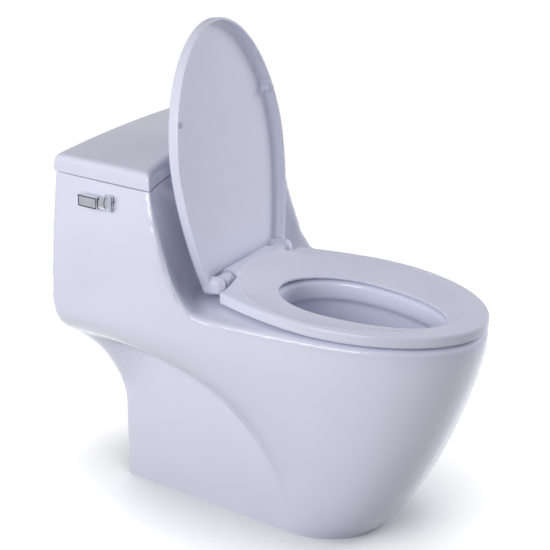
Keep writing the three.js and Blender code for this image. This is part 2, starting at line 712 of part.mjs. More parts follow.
function toiletBody() {
  const outside = bowlAndTank(0, TANK_TOP_Z, SIDE_STEPS)
    .add(pedestal(0, ARCH_HEIGHT + WALL))
    .subtract(recess());
  const vessels = bowlOutside()
    .add(trapway(TRAP_BORE + TUBE_WALL))
    .add(channel(CHANNEL_BORE + TUBE_WALL));
  const horn = block(-CHINA_HALF, CHINA_HALF, 0, RIM_FRONT, -RIM_FRONT, OUTLET_Z);
  let body = outside.subtract(footHollow().subtract(vessels.subtract(horn)));
  body = body.subtract(bowlHollow()).subtract(trapway(TRAP_BORE)).subtract(channel(CHANNEL_BORE));
  body = body.subtract(tankHollow());
  const spudSpace = CHANNEL_DIP_Z + CHANNEL_BORE / 2;
  body = body.subtract(post(VALVE_HOLE, 0, VALVE_OUT, spudSpace, TANK_FLOOR_Z + OVERRUN));
  for (const side of [-1, 1]) {
    const x = side * (POST_INNER + POST_OUTER) / 2;
    body = body.subtract(post(STUD_HOLE, x, HINGE_OUT, DECK_Z - WALL - OVERRUN, DECK_Z + OVERRUN));
    body = body.subtract(
      post(SCREW_RADIUS + CLEAR, side * SCREW_OFFSET, VALVE_OUT, SCREW_Z - CLEAR, TANK_FLOOR_Z + OVERRUN),
    );
  }
  body = body.subtract(post(SHANK_HOLE, FILL_X, FILL_OUT, SHANK_END_Z, TANK_FLOOR_Z + OVERRUN));
  const nutSpace = SHANK_NUT_RADIUS + SHANK_NUT_SPACE;
  body = body.subtract(post(nutSpace, FILL_X, FILL_OUT, SHANK_END_Z, SHANK_SEAT_Z));
  const [x0, x1] = [-LEVER_WALL - OVERRUN, -LEVER_WALL + WALL + OVERRUN];
  return body.subtract(axle(SLEEVE_HOLE, x0, x1, LEVER_OUT, LEVER_Z));
}

// How far a rounded edge has dropped this far in from it.
function roundDrop(distance, radius) {
  const rest = Math.max(0, radius - distance);
  return radius - Math.sqrt(radius ** 2 - rest ** 2);
}

function tankLid() {
  const base = TANK_TOP_Z + LID_JOINT;
  const across = ROUND_SHARES.map((share) => share * LID_ROUND);
  const xs = [];
  for (let step = 1; step < RECESS_STEPS; step++) {
    xs.push(between(LID_ROUND - WING_TOP_HALF, WING_TOP_HALF - LID_ROUND, step / RECESS_STEPS));
  }
  const edge = across.map((d) => d - WING_TOP_HALF);
  const rings = [...edge, ...xs, ...edge.map((x) => -x).reverse()].map((x) => {
    const crown = LID_CROWN * (1 - (x / WING_TOP_HALF) ** 2);
    const height = LID_SIDE + crown - roundDrop(WING_TOP_HALF - Math.abs(x), LID_ROUND);
    const front = tankFrontOut(x);
    const stations = [...across, ...across.map((d) => front - d).reverse()];
    const bottom = stations.map((out) => at(x, out, base)).reverse();
    const top = stations.map((out) => {
      const drop = roundDrop(Math.min(out, front - out), LID_ROUND);
      return at(x, out, base + height - drop);
    });
    return [...bottom, ...top];
  });
  const inner = WING_TOP_HALF - LID_LIP;
  const plan = [[-inner, LID_LIP]];
  for (let step = -LID_LIP_STEPS; step <= LID_LIP_STEPS; step++) {
    const x = (inner * step) / LID_LIP_STEPS;
    plan.push([x, tankFrontOut(x) - LID_LIP]);
  }
  plan.push([inner, LID_LIP]);
  return loft(rings).subtract(extrudeUp(plan, base - OVERRUN, base + LID_HOLLOW));
}

// Outline of the seat, or of something smaller by an inset, from the hinge side to the front.
function seatHalfRing(inset, frontInset, rearOut, z) {
  const front = SEAT_FRONT_OUT - frontInset - SEAT_WIDEST_OUT;
  const rear = SEAT_WIDEST_OUT - SEAT_REAR_OUT;
  const half = [];
  for (let step = 0; step < SEAT_STEPS / 3; step++) {
    const out = between(rearOut, SEAT_WIDEST_OUT, step / (SEAT_STEPS / 3));
    const narrow = ((SEAT_WIDEST_OUT - out) / rear) ** SEAT_REAR_POWER;
    half.push(at(inset - between(SEAT_HALF, SEAT_REAR_HALF, narrow), out, z));
  }
  for (let step = 0; step <= SEAT_STEPS; step++) {
    const [side, along] = roundShares(((step / SEAT_STEPS) * Math.PI) / 2, SEAT_FRONT_POWER);
    half.push(at(-(SEAT_HALF - inset) * side, SEAT_WIDEST_OUT + front * along, z));
  }
  half[half.length - 1].x = 0;
  return mirrored(half);
}

function seatRing() {
  const rearOut = HINGE_OUT + SEAT_CUT;
  const ring = (inset, z) => seatHalfRing(inset, inset, rearOut, z);
  let seat = loft([
    ring(SEAT_ROUND / 2, SEAT_Z),
    ring(0, SEAT_Z + SEAT_ROUND),
    ring(0, SEAT_TOP_Z - SEAT_ROUND),
    ring(SEAT_ROUND / 3, SEAT_TOP_Z - SEAT_ROUND / 3),
    ring(SEAT_ROUND, SEAT_TOP_Z),
  ]);
  const tongue = block(-KNUCKLE_HALF, KNUCKLE_HALF, HINGE_OUT, rearOut + SEAT_CUT, SEAT_Z, SEAT_TOP_Z);
  seat = seat.add(tongue).add(axle(KNUCKLE_RADIUS, -KNUCKLE_HALF, KNUCKLE_HALF, HINGE_OUT, HINGE_Z));
  const hole = (grow, z) => ovalRing(HOLE_HALF + grow, HOLE_FRONT + grow, HOLE_REAR + grow, HOLE_OUT, z);
  const dish = loft([
    hole(0, SEAT_TOP_Z - SEAT_DISH),
    seatDishRing(SEAT_EDGE + SEAT_ROUND, SEAT_TOP_Z - SEAT_DISH / 2),
    seatDishRing(SEAT_EDGE, SEAT_TOP_Z + CLEAR),
  ]);
  const opening = loft([
    hole(0, SEAT_Z - OVERRUN),
    hole(0, SEAT_TOP_Z - SEAT_ROUND),
    hole(SEAT_ROUND, SEAT_TOP_Z),
  ]);
  seat = seat.subtract(dish).subtract(opening);
  for (const side of [-1, 1]) {
    const [near, far] = [KNUCKLE_HALF - PIN_SINK, KNUCKLE_HALF + OVERRUN];
    seat = seat.subtract(sideAxle(PIN_RADIUS + CLEAR, side, near, far, SMALL_SIDES));
  }
  return seat;
}

// Oval inside the raised edge of the seat.
function seatDishRing(inset, z) {
  const front = SEAT_FRONT_OUT - inset - HOLE_OUT;
  const rear = HOLE_OUT - HINGE_OUT - SEAT_CUT - inset;
  return ovalRing(SEAT_HALF - inset, front, rear, HOLE_OUT, z);
}

// Lid over the seat, drawn shut.
function seatCover() {
  const z = (height) => HINGE_Z + height;
  const rearOut = HINGE_OUT - COVER_REAR;
  const ring = (inset, height) =>
    seatHalfRing(COVER_INSET + inset, COVER_FRONT_INSET + inset, rearOut, z(height));
  const skin = loft([
    ring(COVER_LIP, COVER_RIM),
    ring(0, COVER_RIM + COVER_LIP),
    ring(0, COVER_TOP - COVER_ROUND),
    ring(COVER_ROUND / 3, COVER_TOP - COVER_ROUND / 3),
    ring(COVER_ROUND, COVER_TOP),
  ]);
  const inside = (inset, height) =>
    seatHalfRing(COVER_INSET + inset, COVER_FRONT_INSET + inset, rearOut - OVERRUN, z(height));
  const hollow = loft([
    inside(COVER_WALL, COVER_RIM - OVERRUN),
    inside(COVER_WALL, COVER_TOP - COVER_ROUND - COVER_WALL),
    inside(COVER_ROUND + COVER_WALL, COVER_TOP - COVER_WALL),
  ]);
  let cover = skin.subtract(hollow);
  const [bossTop, pocketTop] = [z(COVER_TOP - COVER_ROUND), z(COVER_RIM + BUFFER_SINK)];
  for (const x of [-BUFFER_X, BUFFER_X]) {
    const out = HINGE_OUT + BUFFER_DISTANCE;
    cover = cover.add(post(BUFFER_BOSS, x, out, z(COVER_RIM), bossTop, SMALL_SIDES));
    cover = cover.subtract(post(BUFFER_RADIUS + CLEAR, x, out, SEAT_Z, pocketTop, SMALL_SIDES));
  }
  const cheekTop = z(COVER_TOP - COVER_ROUND);
  for (const side of [-1, 1]) {
    const [a, b] = sideRange(side, EAR_INNER, EAR_OUTER);
    const cheek = block(a, b, HINGE_OUT - COVER_REAR, HINGE_OUT + COVER_REAR, HINGE_Z, cheekTop);
    cover = cover.add(sideAxle(EAR_RADIUS, side, EAR_INNER, EAR_OUTER)).add(cheek);
    const [near, far] = [EAR_INNER - OVERRUN, EAR_INNER + PIN_SINK];
    cover = cover.subtract(sideAxle(PIN_RADIUS + CLEAR, side, near, far, SMALL_SIDES));
  }
  return cover;
}

// Half width of the lid's outline in front of its widest place.
function coverHalf(out) {
  const length = SEAT_FRONT_OUT - COVER_FRONT_INSET - SEAT_WIDEST_OUT;
  const along = (out - SEAT_WIDEST_OUT) / length;
  return (SEAT_HALF - COVER_INSET) * (1 - along ** SEAT_FRONT_POWER) ** (1 / SEAT_FRONT_POWER);
}

function lidBuffer(x) {
  const top = HINGE_Z + COVER_RIM + BUFFER_SINK - CLEAR;
  return post(BUFFER_RADIUS, x, HINGE_OUT + BUFFER_DISTANCE, SEAT_TOP_Z + CLEAR, top, SMALL_SIDES);
}

function seatBumper(x, out) {
  return post(BUMPER_RADIUS, x, out, DECK_Z + CLEAR, SEAT_Z - CLEAR, SMALL_SIDES);
}

// Two distances from the middle as a range on one side of it.
function sideRange(side, near, far) {
  return side < 0 ? [-far, -near] : [near, far];
}

function sideAxle(radius, side, near, far, sides = ROUND_SIDES) {
  return axle(radius, ...sideRange(side, near, far), HINGE_OUT, HINGE_Z, sides);
}

function hingePost(side) {
  const base = DECK_Z + BUSH_HEIGHT + CLEAR;
  const [out0, out1] = [HINGE_OUT - POST_RADIUS, HINGE_OUT + POST_RADIUS];
  const foot = block(...sideRange(side, POST_INNER, POST_OUTER), out0, out1, base, HINGE_Z);
  const boreTop = STUD_TOP_Z + CLEAR;
  return sideAxle(POST_RADIUS, side, POST_INNER, POST_OUTER)
    .add(foot)
    .subtract(sideAxle(DAMPER_RADIUS + CLEAR, side, POST_INNER - OVERRUN, POST_OUTER - DAMPER_END))
    .subtract(sideAxle(PIN_RADIUS + CLEAR, side, POST_INNER, POST_OUTER + OVERRUN, SMALL_SIDES))
    .subtract(post(STUD_RADIUS + CLEAR, side * STUD_X, HINGE_OUT, DECK_Z, boreTop, SMALL_SIDES));
}

function hingeBush(side) {
  const [z0, z1] = [DECK_Z + CLEAR, DECK_Z + BUSH_HEIGHT];
  return tube(WASHER_RADIUS, STUD_RADIUS + CLEAR, side * STUD_X, HINGE_OUT, z0, z1, SMALL_SIDES);
}

function hingeDamper(side) {
  return sideAxle(DAMPER_RADIUS, side, POST_INNER + CLEAR, POST_OUTER - DAMPER_END - CLEAR).subtract(
    sideAxle(PIN_RADIUS + CLEAR, side, POST_INNER - OVERRUN, POST_OUTER + OVERRUN, SMALL_SIDES),
  );
}

function hingePin(side) {
  const far = EAR_INNER + PIN_SINK - CLEAR;
  return sideAxle(PIN_RADIUS, side, KNUCKLE_HALF - PIN_SINK + CLEAR, far, SMALL_SIDES);
}

function hingeStud(side) {
  return post(STUD_RADIUS, side * STUD_X, HINGE_OUT, STUD_TOP_Z - STUD_LENGTH, STUD_TOP_Z, SMALL_SIDES);
}

function hingeWasher(side) {
  const z1 = DECK_Z - WALL - CLEAR;
  return tube(WASHER_RADIUS, STUD_RADIUS + CLEAR, side * STUD_X, HINGE_OUT, z1 - WASHER_HEIGHT, z1);
}

function hexNut(radius, bore, x, out, z0, z1) {
  return post(radius, x, out, z0, z1, HEX_SIDES).subtract(
    post(bore, x, out, z0 - OVERRUN, z1 + OVERRUN),
  );
}

function hingeNut(side) {
  const z1 = DECK_Z - WALL - WASHER_HEIGHT - CLEAR - CLEAR;
  return hexNut(NUT_RADIUS, STUD_RADIUS + CLEAR, side * STUD_X, HINGE_OUT, z1 - NUT_HEIGHT, z1);
}

function tankLidPad(x, out) {
  const [half, long] = [PAD_WIDTH / 2, PAD_LENGTH / 2];
  const [z0, z1] = [TANK_TOP_Z + CLEAR, TANK_TOP_Z + LID_JOINT - CLEAR];
  return block(x - half, x + half, out - long, out + long, z0, z1);
}

// The lever outside: hub, neck and a framed paddle that points to the back.
function tripLever() {
  const [outer, inner] = [LEVER_FACE - HUB_THICK, LEVER_FACE];
  const tip = LEVER_OUT - LEVER_LENGTH;
  const heel = tip + PADDLE_LENGTH;
  const middle = LEVER_Z - LEVER_DROP;
  const [low, high] = [middle - PADDLE_HEIGHT / 2, middle + PADDLE_HEIGHT / 2];
  const outline = [
    [tip, low],
    [heel, low],
    [LEVER_OUT, LEVER_Z - HUB_RADIUS],
    [LEVER_OUT, LEVER_Z + HUB_RADIUS],
    [heel, high],
    [tip, high],
  ];
  const window = block(
    outer - OVERRUN,
    outer + PADDLE_SINK,
    tip + PADDLE_FRAME,
    heel - PADDLE_FRAME,
    low + PADDLE_FRAME,
    high - PADDLE_FRAME,
  );
  return extrudeAcross(outline, outer, outer + PADDLE_THICK)
    .add(axle(HUB_RADIUS, outer, inner, LEVER_OUT, LEVER_Z, 2 * ROUND_SIDES))
    .add(axle(SPINDLE_RADIUS, outer, SPINDLE_END, LEVER_OUT, LEVER_Z, SMALL_SIDES))
    .subtract(window);
}

// Plate on the tank wall with the threaded sleeve that the lever's spindle turns in.
function leverEscutcheon() {
  const plate = axle(
    ESCUTCHEON_RADIUS,
    LEVER_FACE + CLEAR,
    OVERRUN - LEVER_WALL,
    LEVER_OUT,
    LEVER_Z,
    2 * ROUND_SIDES,
  ).subtract(bowlAndTank(-CLEAR, TANK_TOP_Z, SIDE_STEPS));
  const [x0, x1] = [LEVER_FACE - OVERRUN, SLEEVE_END + OVERRUN];
  return plate
    .add(axle(SLEEVE_RADIUS, LEVER_FACE + CLEAR, SLEEVE_END, LEVER_OUT, LEVER_Z))
    .subtract(axle(SPINDLE_RADIUS + CLEAR, x0, x1, LEVER_OUT, LEVER_Z, SMALL_SIDES));
}

function leverLocknut() {
  const [x0, x1] = [LEVER_NUT_X, LEVER_NUT_X + LEVER_NUT_THICK];
  return axle(LEVER_NUT_RADIUS, x0, x1, LEVER_OUT, LEVER_Z, HEX_SIDES).subtract(
    axle(SLEEVE_RADIUS + CLEAR, x0 - OVERRUN, x1 + OVERRUN, LEVER_OUT, LEVER_Z),
  );
}

// Arm inside the tank, clamped on the spindle; its foot stands over the pad of the rocker.
function leverArm() {
  const x0 = SPINDLE_END - ARM_WIDTH;
  const [z0, z1] = [LEVER_Z - ARM_THICK / 2, LEVER_Z + ARM_THICK / 2];
  const half = ARM_WIDTH / 2;
  const bar = [
    [x0, LEVER_OUT + half],
    [x0, LEVER_OUT - half],
    [-ARM_TIP_X, VALVE_OUT - half],
    [half - ARM_TIP_X, VALVE_OUT + half],
    [x0 + ARM_WIDTH, LEVER_OUT + half],
  ];
  const foot = block(
    -ARM_TIP_X - half,
    half - ARM_TIP_X,
    VALVE_OUT - half,
    VALVE_OUT + half,
    ROCKER_Z + ROCKER_HEIGHT / 2 + ROCKER_PLAY,
    z1,
  );
  return extrudeUp(bar, z0, z1)
    .add(foot)
    .add(axle(ARM_HUB, x0, SPINDLE_END, LEVER_OUT, LEVER_Z))
    .subtract(axle(SPINDLE_RADIUS + CLEAR, x0 - OVERRUN, SPINDLE_END + OVERRUN, LEVER_OUT, LEVER_Z));
}

function flushValveBody() {
  const bottom = TANK_FLOOR_Z + VALVE_GASKET_HEIGHT + CLEAR;
  const plateZ = VALVE_SEAT_Z + LEG_HEIGHT;
  let body = post(VALVE_FLANGE, 0, VALVE_OUT, bottom, VALVE_SEAT_Z).add(
    post(VALVE_SPUD, 0, VALVE_OUT, VALVE_SPUD_Z, bottom + CLEAR),
  );
  body = body.add(post(OVERFLOW_RADIUS, OVERFLOW_X, VALVE_OUT, bottom, OVERFLOW_TOP_Z));
  const ductHalf = DUCT_WIDTH / 2 + OVERFLOW_WALL;
  const duct = [VALVE_OUT - ductHalf, VALVE_OUT + ductHalf];
  body = body.add(block(0, OVERFLOW_X, ...duct, bottom, VALVE_SEAT_Z));
  body = body.add(post(VALVE_FLANGE, 0, VALVE_OUT, plateZ, plateZ + TOWER_PLATE));
  body = body.add(post(TOWER_RADIUS, 0, VALVE_OUT, plateZ, TOWER_TOP_Z));
  const reach = ROCKER_PIVOT_X + ROCKER_BOSS;
  const ears = ROCKER_HALF + ROCKER_PLAY + ROCKER_EAR;
  const earsTop = ROCKER_Z + ROCKER_BOSS;
  const span = [VALVE_OUT - ears, VALVE_OUT + ears];
  body = body.add(block(-reach, 0, ...span, TOWER_TOP_Z - LEG_WIDTH - ROCKER_EAR, TOWER_TOP_Z));
  body = body.add(block(-reach, 2 * ROCKER_BOSS - reach, ...span, TOWER_TOP_Z - LEG_WIDTH, earsTop));
  const gap = [VALVE_OUT - ears + ROCKER_EAR, VALVE_OUT + ears - ROCKER_EAR];
  body = body.subtract(block(-reach - OVERRUN, 0, ...gap, TOWER_TOP_Z, earsTop + OVERRUN));
  body = body.subtract(rockerPin(ROCKER_PIN_RADIUS + CLEAR, OVERRUN));
  const legOut = VALVE_FLANGE - LEG_WIDTH / 2;
  for (const side of [-1, 1]) {
    const [out, half] = [VALVE_OUT + side * legOut, LEG_WIDTH / 2];
    const legZ = [VALVE_SEAT_Z - CLEAR, plateZ + CLEAR];
    body = body.add(block(-LEG_WIDTH, LEG_WIDTH, out - half, out + half, ...legZ));
    const screwZ = [bottom - OVERRUN, plateZ - CLEAR];
    body = body.subtract(post(SCREW_RADIUS + CLEAR, side * SCREW_OFFSET, VALVE_OUT, ...screwZ));
  }
  const inner = OVERFLOW_RADIUS - OVERFLOW_WALL;
  const ductZ = bottom + OVERFLOW_WALL;
  body = body.subtract(post(inner, OVERFLOW_X, VALVE_OUT, ductZ, OVERFLOW_TOP_Z + OVERRUN));
  const water = [VALVE_OUT - DUCT_WIDTH / 2, VALVE_OUT + DUCT_WIDTH / 2];
  body = body.subtract(block(0, OVERFLOW_X, ...water, ductZ, ductZ + DUCT_HEIGHT));
  body = body.subtract(post(VALVE_BORE, 0, VALVE_OUT, VALVE_SPUD_Z - OVERRUN, plateZ - LEG_WIDTH));
  return body.subtract(post(STEM_RADIUS + CLEAR, 0, VALVE_OUT, VALVE_SEAT_Z, TOWER_TOP_Z + OVERRUN));
}

function flushValveGasket() {
  const [z0, z1] = [TANK_FLOOR_Z + CLEAR, TANK_FLOOR_Z + VALVE_GASKET_HEIGHT];
  let ring = tube(VALVE_FLANGE, VALVE_HOLE, 0, VALVE_OUT, z0, z1);
  for (const side of [-1, 1]) {
    const x = side * SCREW_OFFSET;
    ring = ring.subtract(post(SCREW_RADIUS + CLEAR, x, VALVE_OUT, z0 - OVERRUN, z1 + OVERRUN));
  }
  return ring;
}

function flushValveScrew(side) {
  const head = VALVE_SEAT_Z + CLEAR;
  return post(SCREW_RADIUS, side * SCREW_OFFSET, VALVE_OUT, SCREW_Z, head + CLEAR, SMALL_SIDES).add(
    post(SCREW_HEAD, side * SCREW_OFFSET, VALVE_OUT, head, head + SCREW_HEAD_HEIGHT, SMALL_SIDES),
  );
}

function flushStem() {
  const disc = VALVE_SEAT_Z + CLEAR + SEAL_HEIGHT + CLEAR;
  const cap = ROCKER_Z + ROCKER_HEIGHT / 2 + ROCKER_PLAY;
  return post(DISC_RADIUS, 0, VALVE_OUT, disc, disc + DISC_HEIGHT)
    .add(post(DISC_BOSS, 0, VALVE_OUT, VALVE_SEAT_Z, disc + CLEAR))
    .add(post(STEM_RADIUS, 0, VALVE_OUT, disc, STEM_NECK_Z))
    .add(post(STEM_NECK, 0, VALVE_OUT, disc, cap + CLEAR))
    .add(post(STEM_CAP, 0, VALVE_OUT, cap, cap + STEM_CAP_HEIGHT));
}

function flushSeal() {
  const z0 = VALVE_SEAT_Z + CLEAR;
  return tube(SEAL_RADIUS, DISC_BOSS + CLEAR, 0, VALVE_OUT, z0, z0 + SEAL_HEIGHT);
}

// Pin across the valve tower, along the way from front to back.
function rockerPin(radius, spare) {
  const half = ROCKER_HALF + ROCKER_PLAY + ROCKER_EAR + spare;
  const geometry = new THREE.CylinderGeometry(radius, radius, 2 * half, SMALL_SIDES);
  geometry.translate(-ROCKER_PIVOT_X, -VALVE_OUT, ROCKER_Z);
  return solidOf(geometry);
}

function flushRocker() {
  const [z0, z1] = [ROCKER_Z - ROCKER_HEIGHT / 2, ROCKER_Z + ROCKER_HEIGHT / 2];
  const [near, far] = [VALVE_OUT - ROCKER_HALF, VALVE_OUT + ROCKER_HALF];
  const boss = new THREE.CylinderGeometry(ROCKER_BOSS, ROCKER_BOSS, 2 * ROCKER_HALF, SMALL_SIDES);
  boss.translate(-ROCKER_PIVOT_X, -VALVE_OUT, ROCKER_Z);
  const padEnd = -ROCKER_PIVOT_X - ROCKER_PAD;
  const prongEnd = PRONG_LENGTH - ROCKER_PIVOT_X;
  let rocker = solidOf(boss).add(
    block(-ROCKER_PIVOT_X - ROCKER_BODY, ROCKER_BODY - ROCKER_PIVOT_X, near, far, z0, z1),
  );
  rocker = rocker.add(block(padEnd, -ROCKER_PIVOT_X - ROCKER_BODY, near, VALVE_OUT + PAD_SWEEP, z0, z1));
  rocker = rocker.add(block(-ROCKER_PIVOT_X, prongEnd, near, near + PRONG_WIDTH, z0, z1));
  rocker = rocker.add(block(-ROCKER_PIVOT_X, prongEnd, far - PRONG_WIDTH, far, z0, z1));
  return rocker.subtract(rockerPin(ROCKER_PIN_RADIUS + CLEAR, OVERRUN));
}

function fillValveBody() {
  const flange = TANK_FLOOR_Z + FILL_WASHER_HEIGHT + CLEAR;
  const stop = FLOAT_LOW_Z - CLEAR;
  return post(SHANK_RADIUS, FILL_X, FILL_OUT, SHANK_END_Z, flange + CLEAR)
    .add(post(FILL_FLANGE, FILL_X, FILL_OUT, flange, flange + FILL_FLANGE_HEIGHT))
    .add(post(RISER_RADIUS, FILL_X, FILL_OUT, flange, FILL_HEAD_Z + CLEAR))
    .add(post(FILL_HEAD_RADIUS, FILL_X, FILL_OUT, FILL_HEAD_Z, FILL_HEAD_Z + FILL_HEAD_HEIGHT))
    .add(axle(REFILL_RADIUS, REFILL_START_X + CLEAR, FILL_X, FILL_OUT, REFILL_Z, SMALL_SIDES))
    .add(post(FLOAT_STOP_RADIUS, FILL_X, FILL_OUT, stop - FLOAT_STOP_HEIGHT, stop))
    .subtract(post(SHANK_BORE, FILL_X, FILL_OUT, SHANK_END_Z - OVERRUN, FILL_HEAD_Z));
}

function fillValveWasher() {
  const [z0, z1] = [TANK_FLOOR_Z + CLEAR, TANK_FLOOR_Z + FILL_WASHER_HEIGHT];
  return tube(FILL_FLANGE, SHANK_RADIUS + CLEAR, FILL_X, FILL_OUT, z0, z1);
}

function fillValveLocknut() {
  const z1 = SHANK_SEAT_Z - CLEAR;
  return hexNut(SHANK_NUT_RADIUS, SHANK_RADIUS + CLEAR, FILL_X, FILL_OUT, z1 - SHANK_NUT_HEIGHT, z1);
}

function fillValveCap() {
  const z0 = FILL_HEAD_Z + FILL_HEAD_HEIGHT + CLEAR;
  return post(FILL_HEAD_RADIUS, FILL_X, FILL_OUT, z0, z0 + FILL_CAP_HEIGHT);
}

function floatCup() {
  const inner = RISER_RADIUS + FLOAT_WALL_GAP;
  return tube(FLOAT_RADIUS, inner, FILL_X, FILL_OUT, FLOAT_LOW_Z, FLOAT_LOW_Z + FLOAT_HEIGHT);
}

// Pipe from the head of the fill valve into the overflow.
function refillPipe() {
  const top = OVERFLOW_TOP_Z + REFILL_RISE;
  const startX = REFILL_START_X;
  const half = (startX + OVERFLOW_X) / 2;
  const path = [
    at(startX, FILL_OUT, REFILL_Z),
    at(startX - REFILL_RADIUS, FILL_OUT, REFILL_Z),
    at(between(startX, half, 1 / 2), between(FILL_OUT, VALVE_OUT, 1 / 8), between(REFILL_Z, top, 1 / 2)),
    at(half, between(FILL_OUT, VALVE_OUT, 1 / 2), top),
    at(between(half, OVERFLOW_X, 3 / 4), between(FILL_OUT, VALVE_OUT, 7 / 8), top),
    at(OVERFLOW_X, VALVE_OUT, OVERFLOW_TOP_Z - REFILL_DIP),
  ];
  return bentBar(REFILL_RADIUS, path, PIPE_SIDES).subtract(
    bentBar(REFILL_BORE, stretched(path), PIPE_SIDES),
  );
}

// The same path with both ends drawn out a little.
function stretched(path) {
  const ends = (tip, next) => tip.clone().add(tip.clone().sub(next).setLength(CLEAR));
  const last = path.length - 1;
  return [ends(path[0], path[1]), ...path.slice(1, last), ends(path[last], path[last - 1])];
}

function outletSeal() {
  const inner = TRAP_BORE + TUBE_WALL + SEAL_GAP;
  return tube(inner + SEAL_WIDTH, inner, 0, OUTLET_OUT, 0, SEAL_RING_HEIGHT);
}

// Finishes, as a colour, a roughness and a metalness
const CHINA = [0xf3f3f8, 0.08, 0];
const SEAT_PLASTIC = [0xf5f5f8, 0.15, 0];
const CHROME = [0xd8dade, 0.1, 1];
const STEEL = [0xb4b6b8, 0.35, 1];
const BRASS = [0xb08d4c, 0.35, 1];
const RUBBER = [0x2c2c2e, 0.8, 0];
const CLEAR_RUBBER = [0xdfe2e6, 0.4, 0];
const NYLON = [0xeceae4, 0.5, 0];
const BLUE_PLASTIC = [0x3d6fa8, 0.4, 0];

const toilet = new THREE.Group();
toilet.name = "toilet";

function piece(name, solid, [color, roughness, metalness], parent = toilet) {
  const material = new THREE.MeshStandardMaterial({ color, roughness, metalness });
  const mesh = new THREE.Mesh(geometryOf(solid), material);
  mesh.name = name;
  parent.add(mesh);
}

piece("toilet_body", toiletBody(), CHINA);
piece("tank_lid", tankLid(), CHINA);
const padX = WING_TOP_HALF - LID_LIP / 2 - PAD_WIDTH / 2;
PAD_OUTS.flatMap((out) => [[-padX, out], [padX, out]]).forEach(([x, out], i) =>
  piece("tank_lid_pad_" + (i + 1), tankLidPad(x, out), CLEAR_RUBBER),
);

piece("seat_ring", seatRing(), SEAT_PLASTIC);
BUMPER_SPOTS.flatMap(([x, out]) => [[-x, out], [x, out]]).forEach(([x, out], i) =>
  piece("seat_bumper_" + (i + 1), seatBumper(x, out), CLEAR_RUBBER),
);

// The lid is drawn shut and turned open about the hinge.
const opened = new THREE.Group();
opened.position.set(0, -HINGE_OUT, HINGE_Z);
opened.rotation.x = THREE.MathUtils.degToRad(-COVER_OPEN_DEG);
const drawnShut = new THREE.Group();
drawnShut.position.set(0, HINGE_OUT, -HINGE_Z);
opened.add(drawnShut);
toilet.add(opened);
piece("seat_lid", seatCover(), SEAT_PLASTIC, drawnShut);

for (const [side, hand] of [[-1, "right"], [1, "left"]]) {
  piece("lid_buffer_" + hand, lidBuffer(side * BUFFER_X), CLEAR_RUBBER, drawnShut);
  piece("hinge_post_" + hand, hingePost(side), SEAT_PLASTIC);
  piece("hinge_bush_" + hand, hingeBush(side), CLEAR_RUBBER);
  piece("hinge_damper_" + hand, hingeDamper(side), NYLON);
  piece("hinge_pin_" + hand, hingePin(side), STEEL);
  piece("hinge_stud_" + hand, hingeStud(side), STEEL);
  piece("hinge_washer_" + hand, hingeWasher(side), RUBBER);
  piece("hinge_nut_" + hand, hingeNut(side), NYLON);
  piece("flush_valve_screw_" + hand, flushValveScrew(side), BRASS);
}

piece("trip_lever", tripLever(), CHROME);
piece("lever_escutcheon", leverEscutcheon(), CHROME);
piece("lever_locknut", leverLocknut(), NYLON);
piece("lever_arm", leverArm(), BRASS);

piece("flush_valve_body", flushValveBody(), NYLON);
piece("flush_valve_gasket", flushValveGasket(), RUBBER);
piece("flush_stem", flushStem(), BLUE_PLASTIC);
piece("flush_seal", flushSeal(), RUBBER);
piece("flush_rocker", flushRocker(), BLUE_PLASTIC);
piece("rocker_pin", rockerPin(ROCKER_PIN_RADIUS, 0), STEEL);

piece("fill_valve_body", fillValveBody(), NYLON);
piece("fill_valve_washer", fillValveWasher(), RUBBER);
piece("fill_valve_locknut", fillValveLocknut(), NYLON);
piece("fill_valve_cap", fillValveCap(), BLUE_PLASTIC);
piece("float_cup", floatCup(), NYLON);
piece("refill_pipe", refillPipe(), NYLON);
piece("outlet_seal", outletSeal(), RUBBER);

// The origin on the floor, in the middle between the wall side and the front of the seat.
toilet.position.y = SEAT_FRONT_OUT / 2;
const part = new THREE.Group();
part.add(toilet);

export default part;
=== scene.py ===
import math

import bmesh
import bpy
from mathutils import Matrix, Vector


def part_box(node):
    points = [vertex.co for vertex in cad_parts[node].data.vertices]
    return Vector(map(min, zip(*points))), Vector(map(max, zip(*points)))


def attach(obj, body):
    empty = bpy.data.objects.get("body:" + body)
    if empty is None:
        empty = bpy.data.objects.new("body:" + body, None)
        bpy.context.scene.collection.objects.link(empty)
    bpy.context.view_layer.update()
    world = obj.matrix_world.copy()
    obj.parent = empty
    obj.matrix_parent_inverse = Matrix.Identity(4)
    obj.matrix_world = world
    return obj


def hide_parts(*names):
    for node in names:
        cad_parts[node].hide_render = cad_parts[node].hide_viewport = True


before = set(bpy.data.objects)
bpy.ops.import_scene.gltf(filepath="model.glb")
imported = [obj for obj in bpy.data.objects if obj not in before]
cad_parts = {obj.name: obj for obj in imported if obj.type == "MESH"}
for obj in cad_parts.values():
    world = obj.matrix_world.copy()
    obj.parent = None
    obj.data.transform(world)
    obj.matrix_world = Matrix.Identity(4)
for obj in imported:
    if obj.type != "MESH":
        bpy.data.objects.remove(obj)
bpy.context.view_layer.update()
bpy.ops.object.select_all(action="DESELECT")

SIDES = ((-1, "right"), (1, "left"))

# Sizes in millimetres as in the part's source. "out" is the distance from the wall side of the tank.
# A pair or triple of sizes runs from the rear to the front, or from low to high.
MM = 0.001
HALF_DEPTH = 374.5
WALL = 12
DECK_Z = 409

# How far the tool of a hole reaches past the face that it opens, and a large tool past the piece
OVERRUN = 5
CUT_BEYOND = 40

